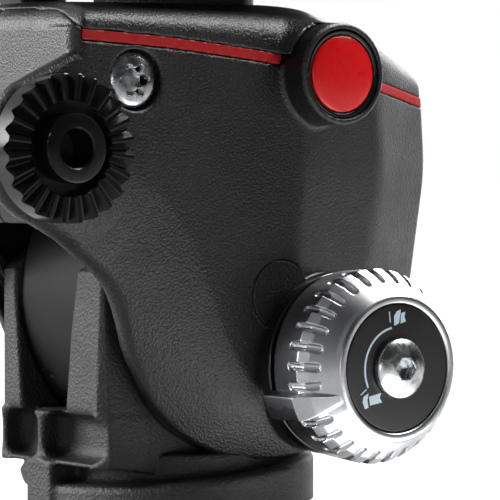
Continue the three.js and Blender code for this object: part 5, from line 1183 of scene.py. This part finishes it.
def make_lights():
    area_light("left_rear_softbox", around(-128, 0.42, 0.85), HEAD_MIDDLE, (0.6, 0.6), 17)
    area_light("top_softbox", (-0.02, 0.55, 0.85), HEAD_MIDDLE, (0.8, 0.5), 18)
    area_light("hood_softbox", around(132, 0.68, 0.72), HEAD_MIDDLE, (0.5, 0.4), 6)
    area_light("far_softbox", around(118, 0.3, 0.9), HEAD_MIDDLE, (0.3, 0.6), 2.5)
    area_light("camera_fill", around(-42, 0.1, 1.4), HEAD_MIDDLE, (0.3, 0.2), 1.1)
    area_light("floor_bounce", FLOOR_BOUNCE_PLACE, FLOOR_BOUNCE_TARGET, (0.08, 0.12), 0.08)


def joined(tree, operation, first, second):
    """A maths node over two outputs, or over an output and a number."""
    node = tree.nodes.new("ShaderNodeMath")
    node.operation = operation
    for socket, value in zip(node.inputs, (first, second)):
        if isinstance(value, (int, float)):
            socket.default_value = value
        else:
            tree.links.new(value, socket)
    return node.outputs["Value"]


def make_world():
    world = bpy.data.worlds.new("studio")
    bpy.context.scene.world = world
    world.use_nodes = True
    tree = world.node_tree
    background = tree.nodes["Background"]
    background.inputs["Color"].default_value = (1, 1, 1, 1)
    path = tree.nodes.new("ShaderNodeLightPath")
    place = tree.nodes.new("ShaderNodeTexCoord")
    shade = tree.nodes.new("ShaderNodeVectorMath")
    shade.operation = "DOT_PRODUCT"
    shade.inputs[1].default_value = MIRRORED_AXIS
    tree.links.new(place.outputs["Generated"], shade.inputs[0])
    studio = ranged(tree, shade.outputs["Value"], -0.8, 0.1, MIRRORED_BEHIND, MIRRORED_IN_FRONT)
    studio.interpolation_type = "SMOOTHSTEP"
    seen = joined(tree, "MAXIMUM", path.outputs["Is Camera Ray"], path.outputs["Is Transmission Ray"])
    soft = joined(tree, "MULTIPLY", path.outputs["Is Diffuse Ray"], DIFFUSE_SHARE)
    mirrored = joined(tree, "ADD", path.outputs["Is Glossy Ray"], soft)
    shown = joined(tree, "MULTIPLY", mirrored, studio.outputs["Result"])
    tree.links.new(joined(tree, "MAXIMUM", seen, shown), background.inputs["Strength"])


def make_floor():
    material, tree, shader = principled("floor", (0.26, 0.26, 0.26), 0.6)
    speckle = texture(tree, "ShaderNodeTexNoise", 40.0, Detail=2.0)
    varied_colour(tree, shader, speckle, (0.25, 0.25, 0.25), (0.27, 0.27, 0.27))
    path = tree.nodes.new("ShaderNodeLightPath")
    mirrored = joined(tree, "MULTIPLY", path.outputs["Is Glossy Ray"], FLOOR_MIRRORED)
    place = tree.nodes.new("ShaderNodeTexCoord")
    away = tree.nodes.new("ShaderNodeVectorMath")
    away.operation = "LENGTH"
    tree.links.new(place.outputs["Object"], away.inputs[0])
    white = ranged(tree, away.outputs["Value"], *FLOOR_DISTANCES, *FLOOR_GLOWS)
    shown = joined(tree, "MULTIPLY", path.outputs["Is Camera Ray"], white.outputs["Result"])
    glow = tree.nodes.new("ShaderNodeEmission")
    tree.links.new(joined(tree, "MAXIMUM", shown, mirrored), glow.inputs["Strength"])
    both = tree.nodes.new("ShaderNodeAddShader")
    tree.links.new(shader.outputs["BSDF"], both.inputs[0])
    tree.links.new(glow.outputs["Emission"], both.inputs[1])
    tree.links.new(both.outputs["Shader"], tree.nodes["Material Output"].inputs["Surface"])
    mesh = bpy.data.meshes.new("floor")
    corners = [(a * FLOOR_HALF, b * FLOOR_HALF, 0) for a, b in ((-1, -1), (1, -1), (1, 1), (-1, 1))]
    mesh.from_pydata(corners, [], [(0, 1, 2, 3)])
    mesh.materials.append(material)
    floor = linked("floor", mesh)


bpy.context.scene.view_settings.view_transform = "Standard"
make_camera()
make_world()
make_lights()
make_floor()
make_shells()
make_stripes()
make_hood()
make_castings()
make_base()
make_knob()
make_side_trim()
make_left_knobs()
finish_nodes()
